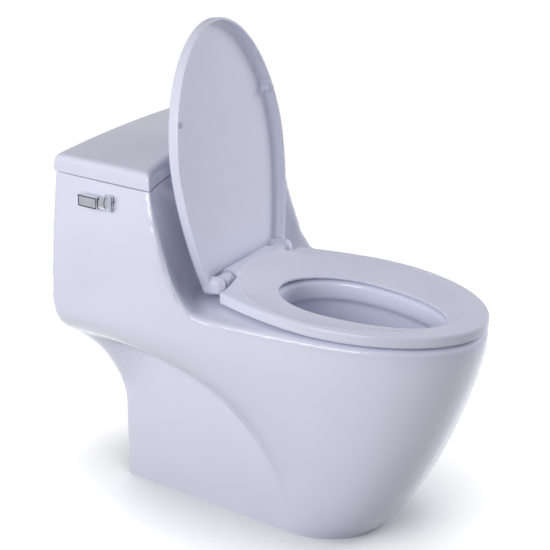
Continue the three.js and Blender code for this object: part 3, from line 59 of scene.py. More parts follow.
# Rim, tank and overhang of the china
RIM_FRONT = 747
WIDEST_Z = 380
RIM_HALVES = (217, 205, 178)
RIM_SIDE_OUT = 440
TANK_TOP_Z = 617
TANK_REAR_TOP_HALF = 188
TANK_REAR_POWER = 1.45
WING_OUT = 232
WING_TOP_HALF = 190
WING_BULGE = 8.5
WING_POWER = 3
OVERHANG_POWERS = (2, 1.25)

# Pedestal: its arched side, the cove behind it and the flare under the tank
ARCH_LENGTH = 439
ARCH_HEIGHT = 292
ARCH_POWER = 2.3
ARCH_SINK = 3
PEDESTAL_REAR_OUT = 77
PEDESTAL_HALVES = (116, 128)
COVE = (160, 258)
COVE_POWER = 1.75
FLARE_HALF = 190
FLARE_LENGTH = 150
FLARE_LOW_Z = 196
FLARE_POWER = 1.02
FLARE_BURIED = (6, 14)
FLARE_LAP = 2
FOOT_FRONT_OUT = 577
FOOT_POWER = 2.2
FOOT_SKIRT = 1.5

# Recess in front of the tank: Bezier points (out, z) at its wings and in its middle
WING_CURVE = ((214, 617), (240, 520), (258, 409), (325, 409))
MIDDLE_CURVE = ((176, 617), (176, 480), (176, 409), (205, 409))
RECESS_HALF = 200

# Bowl, sump, trapway, tank space and open foot. An oval's three sizes are its half width and its reach
# to the front and to the rear
BOWL_OUT = 481
BOWL = (90, 188, 122)
BOWL_POWER = 1.6
RIM_LEDGE = 14
RIM_HEIGHT = 42
RIM_LIP = 8
RIM_UNDERSIDE = 4
BOWL_PAST = 9
SUMP_OUT = 452
SUMP = (40, 52, 46)
SUMP_Z = 150
TUBE_WALL = 9
TRAP_BORE = 26
TRAP_RISE = ((452, 176), (415, 176), (353, 219), (292, 262))
TRAP_FALL = ((248, 242), (248, 180), (290, 60), (290, 30), (290, -4))
TRAP_PATH = TRAP_RISE + TRAP_FALL
OUTLET_Z = 8
TANK_FLOOR_Z = 318
TANK_FLOOR_INSETS = (32, 22)
TANK_WALL_Z = 372
TANK_BLOCK_HALF = 230
FOOT_OPENING_Z = (-6, 4)

# Holes for the fittings
VALVE_OUT = 92
VALVE_HOLE = 31
VALVE_DEPTH = 18
FILL_X = 138
FILL_OUT = 66
SHANK_HOLE = 14
NUT_SPACE = 22
NUT_SPACE_Z = (262, 304)
SLEEVE_HOLE = 8
SLEEVE_HOLE_X = (-205, -175)
STUD_HOLE = 6.5
STUD_DEPTH = 17

# China is modelled taller than it stands, smoothed, and then sliced flat
SPARE_CHINA = 24
SPARE_CUT = 8
CHINA_CAST = (4.6, 16)

# Lid of the tank
LID_BASE_Z = 619
LID_SIDE = 30
LID_CROWN = 6
LID_ROUND = 11
LID_HOLLOW = 20
LID_LIP = 16
LID_SPARE = 10
LID_EDGE_POWER = 1.6
LID_CAST = (2.6, 5)

# Hinge
HINGE_OUT = 286
HINGE_Z = 434
POST_INNER = 70
POST_OUTER = 95
POST_RADIUS = 15
POST_FOOT_Z = 411.3
POST_GROOVES = (0.3, 0.72)
POST_GROOVE_HALF = 0.6
POST_GROOVE_DEPTH = 0.8
POST_GROOVE_STOP = 4
POST_CAP = 1.5
POST_EDGE = 0.5
DAMPER_RADIUS = 10
DAMPER_PLAY = 0.3
PIN_RADIUS = 4.3
STUD_X = 82.5
STUD_BORE_Z = (409, 420.3)

# Seat
SEAT_Z = 414
SEAT_TOP_Z = 435.5
SEAT_FRONT_OUT = 749
SEAT_WIDEST_OUT = 497
SEAT_HALF = 163
SEAT_REAR_HALF = 118.5
SEAT_REAR_OUT = 274
SEAT_FRONT_POWER = 1.9
SEAT_REAR_POWER = 1.8
SEAT_CUT = 21
SEAT_ROUND = 5
SEAT_DISH = 16
DISH_SIZES = (155, 223, 190)
DISH_POWER = 1.3
HOLE = (82, 195, 124)
HOLE_FLARES = ((-6, 3), (1, 1), (3, 0), (5, 0), (6, 1), (20, 8))
HUMP_RISE = 18
HUMP_LENGTH = 92
HUMP_SIDES = (62, 120)
HUMP_SINK = 0.5
HUMP_BASE = 6
POST_SPACE_SIDE = 9
POST_SPACE_REAR = 30
KNUCKLE_RADIUS = 20
KNUCKLE_HALF = 66
SEAT_PIN_BORE = (48, 71)
SEAT_CAST = (2.0, 4)
BUMPER_RADIUS = 7
RUBBER_ROUND = 1.2
BUMPER_PLAY = 0.3
BUMPER_SPOTS = ((-125, 400), (125, 400), (-100, 620), (100, 620))

# Lid of the seat, drawn shut and then opened. Heights are above the hinge's axis
COVER_RIM = 3
COVER_TOP = 28
COVER_INSET = 3
COVER_FRONT_INSET = 13
COVER_WALL = 5
COVER_LIP = 1
COVER_ROUND = 9
COVER_REAR = 14
COVER_BEYOND = 6
COVER_OPEN = math.radians(98)
COVER_CAST = (2.1, 3)
COVER_PIN_BORE = (91, 114)
EAR_RADIUS = 18
EAR_ROUND = 12
EAR_INNER = 96.2
EAR_OUTER = 121
BUFFER_DISTANCE = 297
BUFFER_RADIUS = 6
BUFFER_PLAY = 0.3
BUFFER_BOSS = 7.5
BUFFER_INSET = 8
BUFFER_SINK = 2
BUFFER_LIFT = 1.3

# Trip lever, measured inwards from the outer face of its CAD box
LEVER_OUT = 130
LEVER_Z = 589
PADDLE = (71, 113, 574, 596)
PADDLE_THICK = 8.4
PADDLE_FRAME = 1.2
PADDLE_GROOVE = 1.6
PADDLE_SUNK = 2.4
PADDLE_EDGE = 0.4
NECK_END = 137
NECK_HALF = 16
NECK_RISE = 12.5
NECK_FRONT = 8.6
NECK_BACK = 9.4
NECK_BULGES = (6.6, 8.2)
NECK_LAP = 3
NECK_MARGIN = 1
NECK_CAP = 128.5
CAP_RADIUS = 25
CAP_GROOVE_HALF = 0.9
SPINDLE_RADIUS = 5
SLEEVE_RADIUS = 7.4
SLEEVE_BORE = 5.3
BASE_OUT = (120, 136.5)
BASE_THICK = 7
BASE_REACH = (-13, 10)
BASE_EDGE = 1.5

# Steps of the smooth forms
RAIL_DIVISIONS = 200
SIDE_STEPS = 110
OVERHANG_ROWS = 26
TANK_ROWS = 30
PEDESTAL_STEPS = 24
FLARE_ROWS = 12
FLARE_STEPS = 8
HOLLOW_STEPS = 22
LID_COLUMNS = 40
LID_ROWS = 16
LID_PLAN_STEPS = 8
HUMP_ROWS = 24
HUMP_STEPS = 60
DISH_ROWS = 16
NECK_ROWS = 12
NECK_STEPS = 14
RING_STEPS = 96
ROUND_STEPS = 6


def between(a, b, share):
    return a + (b - a) * share


def place(x, out, z):
    """A point of the toilet, in metres in the shared frame."""
    return Vector((x * MM, (HALF_DEPTH - out) * MM, z * MM))


def round_shares(angle, power):
    """Cosine and sine of a rounded corner: power 2 is a circle, more is squarer."""
    return abs(math.cos(angle)) ** (2 / power), abs(math.sin(angle)) ** (2 / power)


# Objects and their tools
def select_only(obj):
    bpy.ops.object.select_all(action="DESELECT")
    obj.select_set(True)
    bpy.context.view_layer.objects.active = obj


def edit(obj, *steps):
    """Runs steps in edit mode with everything selected."""
    select_only(obj)
    bpy.ops.object.mode_set(mode="EDIT")
    bpy.ops.mesh.select_all(action="SELECT")
    for step in steps:
        step()
    bpy.ops.object.mode_set(mode="OBJECT")


def face_outwards(obj):
    """Joins points that meet and turns every face outwards."""
    edit(
        obj,
        lambda: bpy.ops.mesh.remove_doubles(threshold=0.01 * MM),
        lambda: bpy.ops.mesh.normals_make_consistent(inside=False),
    )
    return obj


def mesh_of(name, points, faces):
    data = bpy.data.meshes.new(name)
    data.from_pydata([place(*p) for p in points], [], faces)
    obj = bpy.data.objects.new(name, data)
    bpy.context.scene.collection.objects.link(obj)
    return face_outwards(obj)


def loft(name, rings):
    """A closed form through rings whose point i lies across from point n - 1 - i."""
    n = len(rings[0])
    faces = []
    for r in range(len(rings) - 1):
        for i in range(n):
            a, b = r * n + i, r * n + (i + 1) % n
            faces.append((a, b, b + n, a + n))
    last = (len(rings) - 1) * n
    for i in range((n - 1) // 2):
        strip = [i, i + 1, n - 2 - i, n - 1 - i]
        if strip[1] == strip[2]:
            strip.pop(2)
        faces.append(tuple(strip))
        faces.append(tuple(last + k for k in strip))
    return mesh_of(name, [p for ring in rings for p in ring], faces)


def prism(name, lower, upper):
    """Two matching outlines joined by walls."""
    n = len(lower)
    faces = [(i, (i + 1) % n, (i + 1) % n + n, i + n) for i in range(n)]
    faces += [tuple(range(n)), tuple(range(n, 2 * n))]
    return mesh_of(name, list(lower) + list(upper), faces)


def prism_up(name, outline, z0, z1):
    return prism(name, [(x, out, z0) for x, out in outline], [(x, out, z1) for x, out in outline])


def prism_across(name, outline, x0, x1):
    return prism(name, [(x0, out, z) for out, z in outline], [(x1, out, z) for out, z in outline])


def apply(obj, kind, **settings):
    """Adds a modifier with its settings and applies it."""
    select_only(obj)
    modifier = obj.modifiers.new(kind.lower(), kind)
    for key, value in settings.items():
        setattr(modifier, key, value)
    bpy.ops.object.modifier_apply(modifier=modifier.name)
    return obj


def combine(obj, tool, operation):
    apply(obj, "BOOLEAN", object=tool, operation=operation, solver="EXACT")
    bpy.data.objects.remove(tool)
    return obj


def cut(obj, *tools):
    for tool in tools:
        combine(obj, tool, "DIFFERENCE")
    return obj


def add(obj, *tools):
    for tool in tools:
        combine(obj, tool, "UNION")
    return obj


def cast(obj, grain, passes):
    """Gives a form the soft edges of a cast or moulded piece: even small faces, then smoothed."""
    apply(obj, "REMESH", mode="VOXEL", voxel_size=grain * MM, adaptivity=0)
    return apply(obj, "SMOOTH", factor=0.5, iterations=passes)


def slice_flat(obj, z, keep_above):
    """Cuts the piece off at a height and closes it with a flat face."""
    edit(
        obj,
        lambda: bpy.ops.mesh.bisect(
            plane_co=(0, 0, z * MM),
            plane_no=(0, 0, 1),
            use_fill=True,
            clear_inner=keep_above,
            clear_outer=not keep_above,
            threshold=0.02 * MM,
        ),
    )
    return obj


def round_bar(name, radius, x0, x1, out, z, sides=64):
    """Cylinder along X."""
    bpy.ops.mesh.primitive_cylinder_add(
        vertices=sides,
        radius=radius * MM,
        depth=abs(x1 - x0) * MM,
        location=place((x0 + x1) / 2, out, z),
        rotation=(0, math.pi / 2, 0),
    )
    obj = bpy.context.object
    obj.name = name
    bpy.ops.object.transform_apply(location=True, rotation=True, scale=True)
    return obj


def post(name, radius, x, out, z0, z1, sides=48):
    """Upright cylinder."""
    bpy.ops.mesh.primitive_cylinder_add(
        vertices=sides, radius=radius * MM, depth=(z1 - z0) * MM, location=place(x, out, (z0 + z1) / 2)
    )
    obj = bpy.context.object
    obj.name = name
    bpy.ops.object.transform_apply(location=True, rotation=True, scale=True)
    return obj


def block(name, x0, x1, out0, out1, z0, z1):
    """Straight block between six sides."""
    bpy.ops.mesh.primitive_cube_add(
        size=1,
        location=place((x0 + x1) / 2, (out0 + out1) / 2, (z0 + z1) / 2),
        scale=((x1 - x0) * MM, (out1 - out0) * MM, (z1 - z0) * MM),
    )
    obj = bpy.context.object
    obj.name = name
    bpy.ops.object.transform_apply(location=True, rotation=True, scale=True)
    return obj


def soften(obj, width, segments=3, angle=35):
    """Rounds the edges that are sharper than an angle."""
    apply(
        obj,
        "BEVEL",
        width=width * MM,
        segments=segments,
        limit_method="ANGLE",
        angle_limit=math.radians(angle),
        use_clamp_overlap=True,
    )
    return shade(obj)


def shade(obj, angle=38):
    select_only(obj)
    bpy.ops.object.shade_smooth_by_angle(angle=math.radians(angle))
    return obj


def drop_scraps(obj):
    """Deletes the tiny loose scraps that cuts can leave, and keeps the largest closed form."""
    mesh = bmesh.new()
    mesh.from_mesh(obj.data)
    waiting, forms = set(mesh.verts), []
    while waiting:
        form, front = set(), [waiting.pop()]
        while front:
            vert = front.pop()
            form.add(vert)
            for edge in vert.link_edges:
                other = edge.other_vert(vert)
                if other in waiting:
                    waiting.remove(other)
                    front.append(other)
        forms.append(form)
    largest = max(forms, key=len)
    scraps = [vert for vert in mesh.verts if vert not in largest]
    bmesh.ops.delete(mesh, geom=scraps, context="VERTS")
    mesh.to_mesh(obj.data)
    mesh.free()
    return obj


def keep_inside(obj, *nodes):
    """No vertex stands outside the box round the CAD nodes that the piece stands for."""
    corners = [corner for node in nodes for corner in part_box(node)]
    low = [min(c[i] for c in corners) for i in range(3)]
    high = [max(c[i] for c in corners) for i in range(3)]
    for vertex in obj.data.vertices:
        vertex.co = [min(max(value, low[i]), high[i]) for i, value in enumerate(vertex.co)]
    return obj


# The outside of bowl and tank
def pedestal_half(out):
    share = (out - PEDESTAL_REAR_OUT) / (ARCH_LENGTH - PEDESTAL_REAR_OUT)
    return between(*PEDESTAL_HALVES, share)


def rim_half(out):
    """Half width of the rim behind its side point."""
    share = out / RIM_SIDE_OUT
    rear, flare, side = RIM_HALVES
    return between(between(rear, flare, share), between(flare, side, share), share)


def rim_point(t, inset):
    """The widest line of the china, from the wall along the side (t up to 1/2) and round the front."""
    if t < 1 / 2:
        out = between(inset, RIM_SIDE_OUT, 2 * t)
        return inset - rim_half(out), out, WIDEST_Z
    side, front = round_shares((t - 1 / 2) * math.pi, 2)
    length = RIM_FRONT - inset - RIM_SIDE_OUT
    slope = 2 * (RIM_HALVES[1] - RIM_HALVES[2]) / RIM_SIDE_OUT
    taper = slope * length * front * (1 - front) ** 2
    return taper - (RIM_HALVES[2] - inset) * side, RIM_SIDE_OUT + length * front, WIDEST_Z


def arch_point(t, inset):
    """The arched edge of the pedestal, from the wall down to the floor, then the outline of the foot."""
    if t < 1 / 2:
        up, along = round_shares(t * math.pi, ARCH_POWER)
        out = between(inset, ARCH_LENGTH, along)
        return ARCH_SINK * up + inset - pedestal_half(out), out, (ARCH_HEIGHT + inset) * up
    side, front = round_shares((t - 1 / 2) * math.pi, FOOT_POWER)
    length = FOOT_FRONT_OUT - inset - ARCH_LENGTH
    return (inset - PEDESTAL_HALVES[1]) * side, ARCH_LENGTH + length * front, 0


def evenly(rail, inset, steps):
    """Points at equal distances along a rail."""
    points = [Vector(rail(i / RAIL_DIVISIONS, inset)) for i in range(RAIL_DIVISIONS + 1)]
    reach = [0]
    for a, b in zip(points, points[1:]):
        reach.append(reach[-1] + (b - a).length)
    result, k = [], 0
    for step in range(steps + 1):
        target = reach[-1] * step / steps
        while k < RAIL_DIVISIONS - 1 and reach[k + 1] < target:
            k += 1
        t = (k + (target - reach[k]) / (reach[k + 1] - reach[k])) / RAIL_DIVISIONS
        result.append(rail(min(t, 1), inset))
    return result


def side_offset(out, z):
    """How far the tank's side stands outside the rim line at a height."""
    up = max(0, (z - WIDEST_Z) / (TANK_TOP_Z - WIDEST_Z))
    rear = (TANK_REAR_TOP_HALF - RIM_HALVES[0]) * up**TANK_REAR_POWER
    wing = 4 * WING_BULGE * up * (1 - up) + (WING_TOP_HALF - rim_half(WING_OUT)) * up**WING_POWER
    fade = min(1, max(0, (RIM_SIDE_OUT - out) / (RIM_SIDE_OUT - WING_OUT)))
    return between(rear, wing, min(1, out / WING_OUT)) * fade


def tank_half(out, z):
    return rim_half(out) + side_offset(out, z)


def mirrored(half):
    return half + [(-x, out, z) for x, out, z in reversed(half[:-1])]


def bowl_and_tank(name, inset, top_z, steps, over_rows, tank_rows):
    """The overhang swells from arch and foot up to the rim line, and the tank's sides rise from there."""
    upper, lower = evenly(rim_point, inset, steps), evenly(arch_point, inset, steps)
    rings = []
    for row in range(over_rows + 1):
        angle = row / over_rows * math.pi / 2
        half = []
        for i, (top, low) in enumerate(zip(upper, lower)):
            short, outward = round_shares(angle, between(*OVERHANG_POWERS, i / steps))
            x, out = between(low[0], top[0], outward), between(low[1], top[1], outward)
            half.append((x, out, between(low[2], WIDEST_Z, 1 - short)))
        half[-1] = (0, *half[-1][1:])
        rings.append(mirrored(half))
    for row in range(1, tank_rows + 1):
        z = between(WIDEST_Z, top_z, row / tank_rows)
        half = [(x - side_offset(out, z), out, z) for x, out, _ in upper]
        half[-1] = (0, *half[-1][1:])
        rings.append(mirrored(half))
    return loft(name, rings)


def pedestal(name, inset, top_z, bottom_z, steps):
    """The flat sides between foot and arch, with the cove under the tank behind them."""
    rear = PEDESTAL_REAR_OUT + inset
    outline = [(ARCH_LENGTH, bottom_z), (ARCH_LENGTH, top_z), (inset, top_z)]
    for step in range(steps + 1):
        back, down = round_shares((1 - step / steps) * math.pi / 2, COVE_POWER)
        outline.append((inset + (rear - inset) * back, between(*COVE, down) + inset))
    outline.append((rear, bottom_z))
    plan = [(pedestal_half(out) - inset, out) for out in (0, ARCH_LENGTH + WALL)]
    walls = plan + [(-x, out) for x, out in reversed(plan)]
    side_view = prism_across(name, outline, -RIM_HALVES[0], RIM_HALVES[0])
    return combine(side_view, prism_up("walls", walls, bottom_z - 1, top_z + 1), "INTERSECT")


def tank_flare():
    """The side of the pedestal sweeps outwards under the rear of the tank."""
    rings = []
    for row in range(FLARE_ROWS + 1):
        share = row / FLARE_ROWS
        out = FLARE_LENGTH * share
        back = min(1, out / PEDESTAL_REAR_OUT)
        cove = between(*COVE, (1 - back**COVE_POWER) ** (1 / COVE_POWER))
        foot = pedestal_half(out)
        edge = between(FLARE_HALF, foot, share**2 * (3 - 2 * share))
        arch = ARCH_HEIGHT * (1 - (out / ARCH_LENGTH) ** ARCH_POWER) ** (1 / ARCH_POWER)
        under = arch + (WIDEST_Z - arch) * (1 - math.sqrt(1 - ((edge - foot) / (RIM_HALVES[0] - foot)) ** 2))
        low, high = max(cove, FLARE_LOW_Z) + FLARE_LAP, under + FLARE_LAP
        half = [(FLARE_BURIED[0] - edge, out, under + FLARE_BURIED[1]), (-edge, out, high)]
        for k in range(1, FLARE_STEPS + 1):
            side, up = round_shares(k / FLARE_STEPS * math.pi / 2, FLARE_POWER)
            half.append((between(-foot, -edge, 1 - up), out, between(low, high, side)))
        rings.append(half + [(-x, o, z) for x, o, z in reversed(half)])
    return loft("tank_flare", rings)


def foot_outline(inset, steps):
    """Outline of the foot on the floor."""
    points = [(x, out) for x, out, z in evenly(arch_point, inset, steps) if z == 0]
    rear = PEDESTAL_REAR_OUT + inset
    side = [(inset - pedestal_half(rear), rear)] + points
    side[-1] = (0, side[-1][1])
    return side + [(-x, out) for x, out in reversed(side[:-1])]


def bezier(curve, t):
    a, b, c, d = curve
    weights = ((1 - t) ** 3, 3 * t * (1 - t) ** 2, 3 * t * t * (1 - t), t**3)
    return [sum(w * p[i] for w, p in zip(weights, (a, b, c, d))) for i in range(2)]


def recess_profile(x, steps):
    """Side view of the tank's front and the deck before it, at a distance from the middle."""
    share = min(1, (x / RECESS_HALF) ** 2)
    profile = []
    for i in range(steps + 1):
        middle, wing = bezier(MIDDLE_CURVE, i / steps), bezier(WING_CURVE, i / steps)
        profile.append((between(middle[0], wing[0], share), between(middle[1], wing[1], share)))
    return profile


def tank_front_out(x):
    return recess_profile(x, 1)[0][0]


def recess(name, across, steps, top_z):
    """What is cut away in front of the tank and above the deck."""
    rings = []
    reach = RIM_HALVES[0] + SPARE_CUT
    for step in range(2 * across + 1):
        x = between(-reach, reach, step / (2 * across))
        profile = [(x, out, z) for out, z in reversed(recess_profile(x, steps))]
        lower = [(x, RIM_FRONT + SPARE_CUT, DECK_Z)] + profile
        rings.append(lower + [(x, out, top_z) for _, out, _ in reversed(lower)])
    return loft(name, rings)


def oval(half, front, rear, out, z, steps=RING_STEPS):
    """Egg-shaped ring with its own reach to the front and to the rear."""
    ring = []
    for step in range(steps):
        angle = (step + 1 / 2) / steps * 2 * math.pi
        along = rear if math.cos(angle) > 0 else front
        ring.append((-half * math.sin(angle), out - along * math.cos(angle), z))
    return ring


def bowl_rings(grow, rows, steps):
    """Rings of the bowl from the sump up to the underside of the rim."""
    rings = []
    for row in range(rows + 1):
        up = row / rows
        wide = up ** (1 / BOWL_POWER)
        sizes = [between(s, b + RIM_LEDGE, wide) + grow for s, b in zip(SUMP, BOWL)]
        z = between(SUMP_Z - grow, DECK_Z - RIM_HEIGHT, up)
        rings.append(oval(*sizes, between(SUMP_OUT, BOWL_OUT, wide), z, steps))
    return rings


def bowl_hollow(top_z):
    rings = bowl_rings(0, rows=24, steps=RING_STEPS)
    rings += [oval(*BOWL, BOWL_OUT, z) for z in (DECK_Z - RIM_HEIGHT + RIM_UNDERSIDE, DECK_Z - RIM_LIP)]
    return loft("bowl_hollow", rings + [oval(*BOWL, BOWL_OUT, top_z)])


def bowl_outside():
    rings = bowl_rings(WALL, rows=10, steps=48)
    return loft("bowl_outside", rings + [[(x, out, DECK_Z) for x, out, _ in rings[-1]]])


def pipe(name, path, radius, steps=10, sides=28):
    """Round bore along a smooth path in the middle plane."""
    ends = [path[0], *path, path[-1]]
    middle = []
    for a, b, c, d in zip(ends, ends[1:], ends[2:], ends[3:]):
        for k in range(steps):
            t = k / steps
            point = []
            for i in range(2):
                slope_b, slope_c = (c[i] - a[i]) / 2, (d[i] - b[i]) / 2
                hump = 2 * b[i] - 2 * c[i] + slope_b + slope_c
                dip = -3 * b[i] + 3 * c[i] - 2 * slope_b - slope_c
                point.append(b[i] + slope_b * t + dip * t * t + hump * t**3)
            middle.append(point)
    middle.append(list(path[-1]))
    rings = []
    for k, (out, z) in enumerate(middle):
        before, after = middle[max(0, k - 1)], middle[min(len(middle) - 1, k + 1)]
        along = Vector((after[0] - before[0], after[1] - before[1])).normalized()
        ring = []
        for side in range(sides):
            angle = (side + 1 / 2) / sides * 2 * math.pi
            lift = radius * math.cos(angle)
            ring.append((radius * math.sin(angle), out - along.y * lift, z + along.x * lift))
        rings.append(ring)
    return loft(name, rings)


def tank_hollow(steps=12, rows=8):
    """The water space: narrower at its floor, then a wall's thickness inside the tank."""

    def ring(z, inset, end_inset):
        def front(x):
            return tank_front_out(x) - WALL - end_inset

        corner = tank_half(WING_CURVE[0][0], z) - WALL - inset
        half = []
        for k in range(steps):
            out = between(WALL + end_inset, front(corner), k / steps)
            half.append((WALL + inset - tank_half(out, z), out, z))
        for k in range(steps + 1):
            x = -corner * (1 - k / steps)
            half.append((x, front(x), z))
        return mirrored(half)

    rings = [ring(TANK_FLOOR_Z, *TANK_FLOOR_INSETS)]
    for row in range(rows + 1):
        rings.append(ring(between(TANK_WALL_Z, TANK_TOP_Z + OVERRUN, row / rows), 0, 0))
    return loft("tank_hollow", rings)


def foot_hollow():
    """The dry space in pedestal and bowl, open at the foot, round the trapway and the bowl's own wall."""
    hollow = bowl_and_tank("foot_hollow", WALL, DECK_Z - WALL, HOLLOW_STEPS, over_rows=8, tank_rows=1)
    add(hollow, pedestal("inner_pedestal", WALL, ARCH_HEIGHT + WALL, -WALL, steps=8))
    half, front = TANK_BLOCK_HALF, WING_CURVE[0][0]
    cut(hollow, block("tank_floor", -half, half, 0, front, TANK_FLOOR_Z - WALL, TANK_TOP_Z))
    horn = (*TRAP_PATH[:-1], (TRAP_PATH[-1][0], OUTLET_Z))
    cut(hollow, pipe("trap_tube", horn, TRAP_BORE + TUBE_WALL, steps=8, sides=16), bowl_outside())
    return add(hollow, prism_up("foot_opening", foot_outline(WALL, HOLLOW_STEPS), *FOOT_OPENING_Z))


def china_body():
    """Bowl, tank and pedestal as one casting with its water ways and holes."""
    body = bowl_and_tank("china_body", 0, TANK_TOP_Z + SPARE_CHINA, SIDE_STEPS, OVERHANG_ROWS, TANK_ROWS)
    add(body, pedestal("outer_pedestal", 0, ARCH_HEIGHT + WALL, -SPARE_CHINA, PEDESTAL_STEPS))
    add(body, prism_up("foot_skirt", foot_outline(0, SIDE_STEPS), -SPARE_CHINA, FOOT_SKIRT))
    add(body, tank_flare())
    front_space = recess("recess", across=28, steps=40, top_z=TANK_TOP_Z + CUT_BEYOND)
    cut(body, front_space, bowl_hollow(DECK_Z + BOWL_PAST))
    cut(body, pipe("trap_bore", TRAP_PATH, TRAP_BORE))
    cast(body, *CHINA_CAST)
    slice_flat(body, TANK_TOP_Z, keep_above=False)
    slice_flat(body, 0, keep_above=True)
    cut(body, tank_hollow(), foot_hollow())
    nut_low, nut_high = NUT_SPACE_Z
    floor_top = TANK_FLOOR_Z + OVERRUN
    cut(body, post("nut_space", NUT_SPACE, FILL_X, FILL_OUT, nut_low, nut_high))
    cut(body, post("shank_hole", SHANK_HOLE, FILL_X, FILL_OUT, nut_low, floor_top))
    cut(body, post("valve_hole", VALVE_HOLE, 0, VALVE_OUT, TANK_FLOOR_Z - VALVE_DEPTH, floor_top))
    cut(body, round_bar("sleeve_hole", SLEEVE_HOLE, *SLEEVE_HOLE_X, LEVER_OUT, LEVER_Z))
    for side in (-1, 1):
        cut(body, post("stud_hole", STUD_HOLE, side * STUD_X, HINGE_OUT, DECK_Z - STUD_DEPTH, DECK_Z + OVERRUN))
    return keep_inside(shade(body), "toilet_body")


def round_drop(distance, radius):
    """How far a rounded edge lies below its flat top, at a distance from the side."""
    rest = max(0, radius - distance)
    return radius - math.sqrt(radius**2 - rest**2)


def tank_cover():
    """The china lid on the tank: crowned, its front hollow like the tank front."""
    across = [LID_ROUND * (k / ROUND_STEPS) ** LID_EDGE_POWER for k in range(ROUND_STEPS + 1)]
    flat_half = WING_TOP_HALF - LID_ROUND
    flat = [between(-flat_half, flat_half, k / LID_COLUMNS) for k in range(1, LID_COLUMNS)]
    edge = [d - WING_TOP_HALF for d in across]
    rings = []
    for x in edge + flat + [-x for x in reversed(edge)]:
        crown = LID_CROWN * (1 - (x / WING_TOP_HALF) ** 2)
        height = LID_SIDE + crown - round_drop(WING_TOP_HALF - abs(x), LID_ROUND)
        front = tank_front_out(x)
        inner = [between(LID_ROUND, front - LID_ROUND, k / LID_ROWS) for k in range(1, LID_ROWS)]
        stations = across + inner + [front - d for d in reversed(across)]
        bottom = [(x, out, LID_BASE_Z - LID_SPARE) for out in reversed(stations)]
        top = []
        for out in stations:
            top.append((x, out, LID_BASE_Z + height - round_drop(min(out, front - out), LID_ROUND)))
        rings.append(bottom + top)
    lid = cast(loft("china_tank_lid", rings), *LID_CAST)
    slice_flat(lid, LID_BASE_Z, keep_above=True)
    inner = WING_TOP_HALF - LID_LIP
    plan = [(-inner, LID_LIP)]
    for k in range(-LID_PLAN_STEPS, LID_PLAN_STEPS + 1):
        x = inner * k / LID_PLAN_STEPS
        plan.append((x, tank_front_out(x) - LID_LIP))
    plan.append((inner, LID_LIP))
    cut(lid, prism_up("lid_hollow", plan, LID_BASE_Z - OVERRUN, LID_BASE_Z + LID_HOLLOW))
    return keep_inside(shade(lid), "tank_lid")


# Seat and lid
def seat_ring_points(inset, front_inset, rear_out, z, steps=54):
    """Outline of the seat, drawn in by an inset at its sides and by another at its front."""
    front = SEAT_FRONT_OUT - front_inset - SEAT_WIDEST_OUT
    rear = SEAT_WIDEST_OUT - SEAT_REAR_OUT
    half = []
    for step in range(steps // 3):
        out = between(rear_out, SEAT_WIDEST_OUT, step / (steps // 3))
        narrow = ((SEAT_WIDEST_OUT - out) / rear) ** SEAT_REAR_POWER
        half.append((inset - between(SEAT_HALF, SEAT_REAR_HALF, narrow), out, z))
    for step in range(steps + 1):
        side, along = round_shares(step / steps * math.pi / 2, SEAT_FRONT_POWER)
        half.append(((inset - SEAT_HALF) * side, SEAT_WIDEST_OUT + front * along, z))
    half[-1] = (0, *half[-1][1:])
    return mirrored(half)


def hump_rise(x, out):
    """Height of the hump that leads from the seat up to its hinge."""
    along = min(1, max(0, (out - HINGE_OUT) / HUMP_LENGTH))
    inner, outer = HUMP_SIDES
    aside = min(1, max(0, (abs(x) - inner) / (outer - inner)))
    return HUMP_RISE * (1 - along) ** 2 * (1 + 2 * along) * (1 - aside) ** 2 * (1 + aside)


def seat_hump():
    """The hump's solid, sunk a little into the seat."""
    outer = HUMP_SIDES[1]
    rings = []
    for row in range(HUMP_ROWS + 1):
        out = HINGE_OUT + HUMP_LENGTH * row / HUMP_ROWS
        top = []
        for k in range(HUMP_STEPS + 1):
            x = between(-outer, outer, k / HUMP_STEPS)
            top.append((x, out, SEAT_TOP_Z - HUMP_SINK + hump_rise(x, out)))
        rings.append(top + [(x, out, SEAT_Z + HUMP_BASE) for x, out, _ in reversed(top)])
    return loft("hump", rings)


def seat_dish():
    """What is cut out over the sloping top, from the raised rim down to the opening."""
    rings = []
    for k in range(DISH_ROWS + 1):
        share = k / DISH_ROWS
        sizes = [between(a, b, share) for a, b in zip(HOLE, DISH_SIZES)]
        depth = SEAT_DISH * (1 - share**DISH_POWER)
        ring = oval(*sizes, BOWL_OUT, SEAT_TOP_Z)
        rings.append([(x, out, z - depth + hump_rise(x, out)) for x, out, z in ring])
    rings.append([(x, out, SEAT_TOP_Z + CUT_BEYOND) for x, out, _ in rings[-1]])
    return loft("dish", rings)


